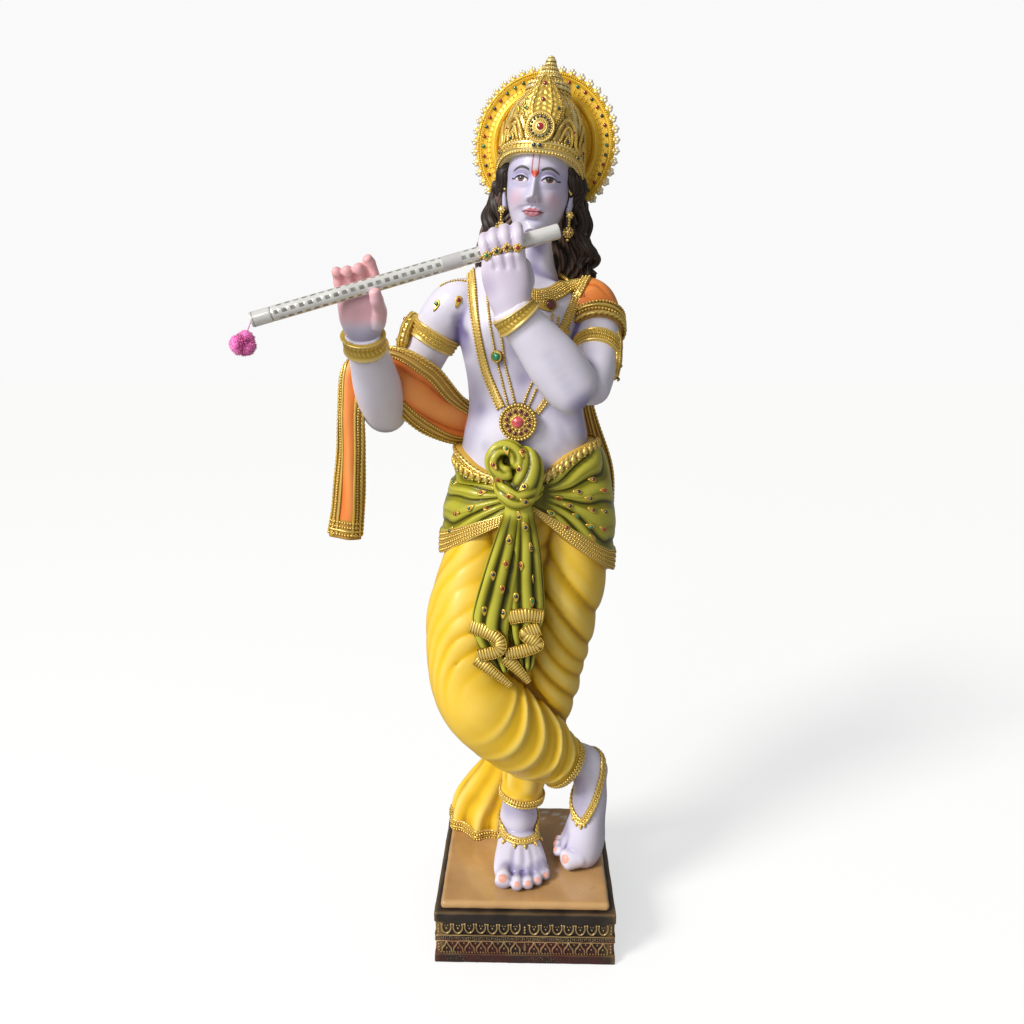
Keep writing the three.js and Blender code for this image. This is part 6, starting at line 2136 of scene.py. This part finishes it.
# Flute: a loose embossed tube, silvered, with a cap ring near its open far end, rows of dark
# dashes pressed into it and a clear tape wound on between the hands
FLUTE_LENGTH, FLUTE_RADIUS, FLUTE_BORE = 190, 4.5, 3.6
FLUTE_ROUND = 60  # points round the tube
flute_near = place((18.8, -50, 462.2))
flute_run = unit(place((-161.8, -78, 409.8)) - flute_near)
flute_front = unit(np.cross(np.cross(flute_run, (0, -1, 0)), flute_run))
flute_top = np.cross(flute_run, flute_front)
steps = np.linspace(0, FLUTE_LENGTH, 400)
turns = turns_of(FLUTE_ROUND)
s, turn = np.broadcast_arrays(steps[:, None], turns)
from_cap = FLUTE_LENGTH - s
ROWS_ROUND, DASH_PITCH = 6, 5.2
lane = turn / TURN * ROWS_ROUND
lane_mid = np.abs((lane + 0.5) % 1 - 0.5) * TURN / ROWS_ROUND * FLUTE_RADIUS
narrow = np.round(lane) % 2
dash = np.abs((from_cap / DASH_PITCH + 0.5 * narrow + 0.5) % 1 - 0.5) * DASH_PITCH
tarnish = (1 - step_up(dash, 1.3, 1.7)) * (
    1 - step_up(lane_mid, 0.95 - 0.2 * narrow, 1.25 - 0.2 * narrow)
)
dashed = step_up(from_cap, 14.5, 15) * step_up(s, 22, 23)
tape = step_up(s, 61, 61.4) * (1 - step_up(s, 73, 73.4))
smear = 0.5 + 0.5 * np.sin(0.61 * s + 3 * turn) * np.sin(0.23 * s - 2 * turn + 1)
mouth_line = bump(np.sin(turn / 2 + 0.35), 0.2, 0.12) * (1 - step_up(s, 20, 24)) * 0.5 * smear
stain = tarnish * dashed * (0.55 + 0.45 * smear) * (1 - 0.8 * tape) + mouth_line
ring_line = bump(from_cap, 12.6, 0.35) + 0.8 * bump(from_cap, 1.6, 0.3)
stain = np.clip(stain + ring_line, 0, 1)
outer = FLUTE_RADIUS - 0.14 * tarnish * dashed + 0.12 * tape - 0.22 * bump(from_cap, 12.6, 0.5)
outer -= 0.03 * (1 - smear)
outer = np.minimum(outer, FLUTE_RADIUS)
outer[[0, -1]] = FLUTE_RADIUS - 0.3
radius = np.vstack((outer, np.full((3, FLUTE_ROUND), float(FLUTE_BORE))))
reach = np.concatenate((steps, (FLUTE_LENGTH, FLUTE_LENGTH / 2, 0.0)))
rings = flute_near + MM * (
    reach[:, None, None] * flute_run
    + radius[..., None] * (
        np.cos(turns)[:, None] * flute_front + np.sin(turns)[:, None] * flute_top
    )
)
faces = tube_faces(FLUTE_ROUND, len(reach))
flute_piece = make_mesh("flute_tube", rings.reshape(-1, 3), *faces)
finish_mesh(flute_piece)
stain = np.vstack((stain, np.full((3, FLUTE_ROUND), 0.7)))
note(flute_piece, "hollow", (0.3 * (stain - 0.3)).ravel())
note(flute_piece, "tarnish", stain.ravel())
tape = np.vstack((tape * np.ones_like(turn), np.zeros((3, FLUTE_ROUND))))
note(flute_piece, "tape", tape.ravel())
silver = painted(
    "embossed silver", (0.90, 0.89, 0.86), (0.48, 0.47, 0.44), (1.0, 1.0, 0.98), reach=0.3,
    blotch=0.22, gloss=0.2, metallic=0.4
)
overpaint(silver, "tarnish", (0.24, 0.24, 0.215))
overpaint(silver, "tape", (0.80, 0.79, 0.80))
settle(flute_piece, silver, "silver_tube", "flute")

# Pompon: a ragged ball of pink wool on a short thread at the flute's far end
POMPON_RADIUS, STRANDS = 8.5, 1700
yarn_end = flute_near + flute_run * FLUTE_LENGTH * MM
hang = unit(np.array((-0.39, 0, -0.92)))
pompon_at = yarn_end + hang * (FLUTE_RADIUS + 1.5 + POMPON_RADIUS) * MM
chance = np.random.default_rng(11)
wool = Heap()
lumps = unit(chance.normal(size=(13, 3)))


def wool_reach(ways):
    """The ball's ragged outline, in shares of its radius."""
    nearest = (ways @ lumps.T).max(axis=-1)
    return 0.64 + 0.30 * step_up(nearest, 0.62, 0.97)


core = ball(40, 24)
core_points = core[0] * (wool_reach(unit(core[0])) - 0.06)[:, None] * POMPON_RADIUS * MM + pompon_at
wool.add(core_points, core[1], core[2], np.full(len(core_points), 0.5))
for way in unit(chance.normal(size=(STRANDS, 3))):
    far = wool_reach(way) + chance.uniform(-0.05, 0.035)
    aside = unit(np.cross(way, chance.normal(size=3)))
    bow = chance.uniform(-0.13, 0.13)
    stops = [way * 0.5, way * 0.72 + aside * bow, way * far + aside * bow * 1.6]
    path = pompon_at + POMPON_RADIUS * MM * along_curve(stops, np.linspace(0, 1, 4))
    wool.cord(path, aside, np.array((0.30, 0.30, 0.26, 0.12)), around=3)
wool.cord(even([pompon_at, yarn_end], aside, 0.8)[0], aside, 0.45, around=8, ripple=twisted(3))
wool_points = np.vstack(wool.points)
depth_in = POMPON_RADIUS * 0.86 - np.linalg.norm(wool_points - pompon_at, axis=1) / MM
# Painted shade: the wool darker the deeper it lies inside the ball
wool.hollows = [np.clip(0.16 * depth_in, -0.5, 0.4)]
pink = painted(
    "pink wool", (1.0, 0.26, 0.66), (0.95, 0.12, 0.48), (1.0, 0.60, 0.86), reach=0.5, blotch=0.2,
    gloss=0.85
)
pink.node_tree.nodes["Principled BSDF"].inputs["Sheen Weight"].default_value = 0.5
pink.node_tree.nodes["Principled BSDF"].inputs["Sheen Roughness"].default_value = 0.4
wool.make("pompon_wool", pink, "pink_wool", "pompon")

# Plinth: a cast square block, dark brown with gold and a little red rubbed over its carving, and a
# glossy tan slab with rounded edges on top. Two rows of seven and seven arches run round it.
PLINTH_SIDE, PLINTH_HEIGHT, SLAB_HEIGHT, SLAB_INSET = 132, 47.5, 6, 4.5
LIP_HEIGHT, FOOT_HEIGHT, BAND_HEIGHT, LEDGE = 8, 7.5, 5, 1.8
dark_top = PLINTH_HEIGHT - SLAB_HEIGHT
row_height = (dark_top - LIP_HEIGHT - FOOT_HEIGHT - BAND_HEIGHT) / 2
band_low = FOOT_HEIGHT + row_height
FLAT_SHARE = 0.8  # the other faces of a block crowd into its rounded edges


def block(name, side, low, high, edge, cuts, unevenness):
    """A block with softly rounded edges and slightly uneven faces."""
    bpy.ops.object.select_all(action="DESELECT")
    bpy.ops.mesh.primitive_cube_add(
        size=1, location=(0, 0, (low + high) / 2 * MM),
        scale=(side * MM, side * MM, (high - low) * MM)
    )
    piece = bpy.context.object
    piece.name = name
    bpy.ops.object.transform_apply(location=True, rotation=True, scale=True)
    bpy.ops.object.mode_set(mode="EDIT")
    bpy.ops.mesh.select_all(action="SELECT")
    bpy.ops.mesh.subdivide(number_cuts=cuts)
    bpy.ops.object.mode_set(mode="OBJECT")
    half = np.array((side, side, high - low)) / 2 * MM
    middle = np.array((0, 0, (low + high) / 2 * MM))
    share = (points_of(piece) - middle) / half
    flat = half - edge * MM
    rounding = edge * MM * (1 - np.abs(share)) / (1 - FLAT_SHARE)
    crowded = np.where(
        np.abs(share) < FLAT_SHARE, flat * share / FLAT_SHARE, np.sign(share) * (half - rounding)
    )
    inner = np.clip(crowded, -flat, flat)
    move_points(piece, middle + inner + edge * MM * unit(crowded - inner))
    points, normals = points_of(piece), normals_of(piece)
    x, y, z = points.T / MM
    waves = np.sin(0.11 * x + 0.17 * y + 0.3 * z) + np.sin(0.29 * x - 0.23 * y + 1)
    waves += np.sin(0.5 * y + 0.43 * x - 0.6 * z)
    inward = normals * ((waves / 3 - 1) / 2 * unevenness * MM)[:, None]
    inward[np.abs(z) < 0.1] *= (1, 1, 0)
    move_points(piece, points + inward)
    finish_mesh(piece)
    return piece


slab = block(
    "plinth_slab", PLINTH_SIDE - 2 * SLAB_INSET, dark_top - 1, PLINTH_HEIGHT, 3.2, 44, 0.35
)
x, y, z = points_of(slab).T / MM
# Uneven tone over the slab, and a painted highlight on its rounded edge
note(
    slab, "hollow",
    0.12 * np.sin(0.09 * x + 0.05 * y) * np.sin(0.07 * y + 1)
        - 0.1 * (np.maximum(np.abs(x), np.abs(y)) > 59)
)
note(slab, "seam", 1 - step_up(z - dark_top, 0.2 + 0.4 * np.sin(0.2 * x + 0.13 * y), 1.1))
pits = np.zeros(len(x))
for px, py, radius in (
    (50, -45, 1.0), (49, -41, 0.7), (-40, -30, 0.6), (-48, -8, 0.7), (22, 30, 0.6), (-14, 48, 0.8)
):
    pits = np.maximum(pits, 1 - step_up(np.hypot(x - px, y - py), 0.5 * radius, 1.6 * radius))
note(slab, "pits", pits * (z > PLINTH_HEIGHT - 1.5))
chips = np.zeros(len(x))
for px, py, radius in (
    (16.5, 52.5, 1.9), (14.6, 43.8, 1.4), (33.4, 47, 3.0), (30.8, 39, 1.8), (26, 50, 2.2),
    (-2, -56, 0.7), (4, -57.5, 0.5)
):
    wavy = radius * (1 + 0.3 * np.sin(3 * np.arctan2(y - py, x - px)))
    chips = np.maximum(chips, 1 - step_up(np.hypot(x - px, y - py), 0.8 * wavy, 1.1 * wavy))
note(slab, "chips", chips * (z > PLINTH_HEIGHT - 1.5))
tan = painted(
    "glossy tan", (0.53, 0.30, 0.115), (0.25, 0.125, 0.04), (0.64, 0.42, 0.21), reach=0.35,
    blotch=0.16, gloss=0.24, coat=0.6
)
overpaint(tan, "seam", (0.055, 0.012, 0.010))
overpaint(tan, "pits", (0.05, 0.03, 0.02))
overpaint(tan, "chips", (0.66, 0.62, 0.55))
settle(slab, tan, "dark_plinth", "plinth")

blocks = [
    block("plinth_block", PLINTH_SIDE, 0, FOOT_HEIGHT, 1.2, 24, 0.4),
    block("plinth_block", PLINTH_SIDE - 2 * LEDGE, 0.6, dark_top - 0.6, 0.8, 14, 0.2),
    block("plinth_block", PLINTH_SIDE - LEDGE, band_low, band_low + BAND_HEIGHT, 0.8, 20, 0.2),
    block("plinth_block", PLINTH_SIDE, dark_top - LIP_HEIGHT, dark_top, 1.5, 26, 0.4)
]
choose(*blocks)
bpy.ops.object.join()
blocks = bpy.context.object
note_hollows(blocks, 6)
deepen(blocks, 0.35, 0.03)


def redness(points):
    """Where a dull red shows through: the lower rows, more in the middle of each side."""
    x, y, z = points.T / MM
    patch = 0.5 + 0.5 * np.sin(0.083 * x + 0.07 * y + 0.9) * np.sin(0.19 * x - 0.16 * y + 0.21 * z)
    return np.clip(1.5 * patch * (1 - step_up(z, 15, 24)), 0, 1)


note(blocks, "red", 0.55 * redness(points_of(blocks)))
dark = painted(
    "dark brown glaze", (0.028, 0.021, 0.018), (0.008, 0.006, 0.005), (0.20, 0.125, 0.05),
    reach=0.35, blotch=0.5, gloss=0.34, coat=0.25
)
overpaint(dark, "red", (0.085, 0.018, 0.016))
settle(blocks, dark, "dark_plinth", "plinth")

carving, grains_heap = Heap(), Heap()
GRAIN = ball(5, 3)
HALF_CORE = PLINTH_SIDE / 2 - LEDGE
PITCH, CORNER = 8.35, 62.6
for quarter in range(4):
    spin = np.array(Matrix.Rotation(quarter * math.pi / 2, 3, "Z"))
    face_out = spin @ (0, -1, 0)

    def on_side(x, z, out=0.0):
        x, z = np.broadcast_arrays(np.asarray(x, float), np.asarray(z, float))
        return np.stack((x, 0 * x - HALF_CORE - out, z), -1) @ spin.T * MM

    centres = [half * (2.6 + PITCH * (k + 0.5)) for half in (-1, 1) for k in range(7)]
    for c in centres:
        wobble = 0.25 * math.sin(1.7 * c + quarter)
        for stops, low in (
            ([
                (-3.1, 9.1), (-3.3, 5.6), (-2.0, 2.6), (0, 1.5), (2.0, 2.6), (3.3, 5.6), (3.1, 9.1)
            ], band_low + BAND_HEIGHT),
            ([
                (-3.4, 1.6), (-3.1, 4.6), (-1.3, 7.0), (0, 9.9), (1.3, 7.0), (3.1, 4.6), (3.4, 1.6)
            ], FOOT_HEIGHT)
        ):
            xz = along_curve([(*stop, 0) for stop in stops], np.linspace(0, 1, 22))
            carving.cord(
                on_side(c + xz[:, 0], low + xz[:, 1] + wobble, 0.25), face_out, 0.62, 1.0, around=6
            )
        top = band_low + BAND_HEIGHT
        for dx, dz, size in ((0, 5.2, 0.75), (-1.0, 7.4, 0.5), (1.0, 7.4, 0.5), (-4.15, 8.6, 0.6)):
            carving.stamp(BEAD, on_side(c + dx, top + dz, 0.1), face_out, size)
        for dx, dz, size in ((0, 4.3, 0.7), (-4.15, 8.2, 0.6)):
            carving.stamp(BEAD, on_side(c + dx, FOOT_HEIGHT + dz, 0.1), face_out, size)
    for dz in (2.4, 4.6, 6.8):
        carving.stamp(BEAD, on_side(0, band_low + BAND_HEIGHT + dz, 0.2), face_out, 0.95)
    carving.stamp(LEAF, on_side(0, FOOT_HEIGHT + 5, 0.2), face_out, (3.0, 0.9, 1.0), (0, 0, 1))
    for x in (-CORNER, CORNER):
        for z in (
            FOOT_HEIGHT + 2.5, FOOT_HEIGHT + 5.0, FOOT_HEIGHT + 7.5, band_low + 7.5, band_low + 10,
            band_low + 12.5
        ):
            carving.stamp(BEAD, on_side(x, z, 0.1), face_out, 0.8)
    dots = np.arange(-61, 61.1, 2.05)
    carving.stamp(SEED, on_side(dots, 0 * dots + FOOT_HEIGHT + 0.9, 0.5), face_out, 0.62)
    for z in (band_low + 0.1, band_low + BAND_HEIGHT - 0.1):
        line = np.linspace(-64.5, 64.5, 60)
        carving.cord(
            on_side(line, z + 0.15 * np.sin(0.4 * line), 0.95), face_out, 0.38, 0.5, around=6
        )
    for low, high, out, spacing in (
        (band_low + 0.7, band_low + BAND_HEIGHT - 0.7, 0.85, 1.4),
        (1.0, FOOT_HEIGHT - 0.9, 1.3, 1.65)
    ):
        across = np.arange(-64.6, 64.7, spacing)
        down = np.arange(low, high + 0.01, spacing * 0.9)
        gx, gz = (v.ravel() for v in np.meshgrid(across, down))
        gx = gx + chance.uniform(-0.4, 0.4, gx.shape)
        gz = gz + chance.uniform(-0.3, 0.3, gz.shape)
        sizes = chance.uniform(0.30, 0.56, gx.shape) * (1.0 if out < 1 else 0.85)
        grains_heap.stamp(GRAIN, on_side(gx, gz, out), face_out, sizes)
brass = painted(
    "gold rubbed over brown", (0.40, 0.27, 0.11), (0.035, 0.022, 0.015), (0.80, 0.60, 0.30),
    reach=0.45, blotch=0.5, gloss=0.36, metallic=0.5
)
overpaint(brass, "red", (0.36, 0.12, 0.085))
grain_gold = painted(
    "dull gold grain", (0.32, 0.235, 0.11), (0.04, 0.027, 0.018), (0.72, 0.58, 0.32),
    reach=0.45, blotch=0.6, gloss=0.42, metallic=0.4
)
overpaint(grain_gold, "red", (0.13, 0.035, 0.028))
for heap, name, finish, share in (
    (carving, "plinth_arches", brass, 0.55), (grains_heap, "plinth_grains", grain_gold, 0.85)
):
    points = np.vstack(heap.points)
    piece = heap.make(name, finish, "dark_plinth", "plinth")
    note(piece, "red", share * redness(points))

for name, (finish, heap) in glass.items():
    slot = "green_stone" if name in ("green", "dark") else "red_stone"
    heap.make(f"stones_{name}", finish, slot)

# A plain pale floor and soft studio light: a broad lamp high on the front left
bpy.ops.object.select_all(action="DESELECT")
bpy.ops.mesh.primitive_plane_add(size=14)
floor = bpy.context.object
floor.name = "studio_floor"
paper, tree, paper_shader = new_finish(
    "pale paper",
    {
        "Base Color": (0.44, 0.44, 0.44, 1), "Roughness": 0.8, "Specular IOR Level": 0.1,
        "Emission Color": (0.985, 0.992, 1, 1), "Emission Strength": 0.625
    }
)


def by_view(tree, plain, seen, output):
    """Shows the camera one shader, and the light that bounces about another one."""
    camera = wired(tree, "LightPath", {}).outputs["Is Camera Ray"]
    blend = wired(tree, "MixShader", {0: camera, 1: plain.outputs[0], 2: seen.outputs[0]})
    tree.links.new(blend.outputs[0], tree.nodes[output].inputs["Surface"])


dim = wired(tree, "BsdfDiffuse", {"Color": (0.36, 0.36, 0.36, 1)})
by_view(tree, dim, paper_shader, "Material Output")
floor.data.materials.append(paper)
world = bpy.data.worlds.new("studio")
bpy.context.scene.world = world
world.use_nodes = True
tree = world.node_tree
room = tree.nodes["Background"]
room.inputs["Color"].default_value = (1, 0.985, 0.96, 1)
room.inputs["Strength"].default_value = 0.27
by_view(tree, room, wired(tree, "Background", {"Color": (0.95, 0.95, 0.95, 1)}), "World Output")
AIM = Vector((0, 0, 0.32))
for kind, spot, energy, colour, size_name, size in (
    ("SUN", (-1.35, -1.05, 1.55), 2.7, (1, 0.985, 0.95), "angle", math.radians(16)),
    ("AREA", (-0.85, -1.35, 0.95), 9, (1, 0.99, 0.97), "size", 0.9)
):
    bpy.ops.object.light_add(type=kind, location=spot)
    lamp = bpy.context.object
    setattr(lamp.data, size_name, size)
    lamp.data.energy = energy
    lamp.data.color = colour
    lamp.rotation_euler = (AIM - lamp.location).to_track_quat("-Z", "Y").to_euler()
bpy.context.scene.view_settings.view_transform = "Standard"
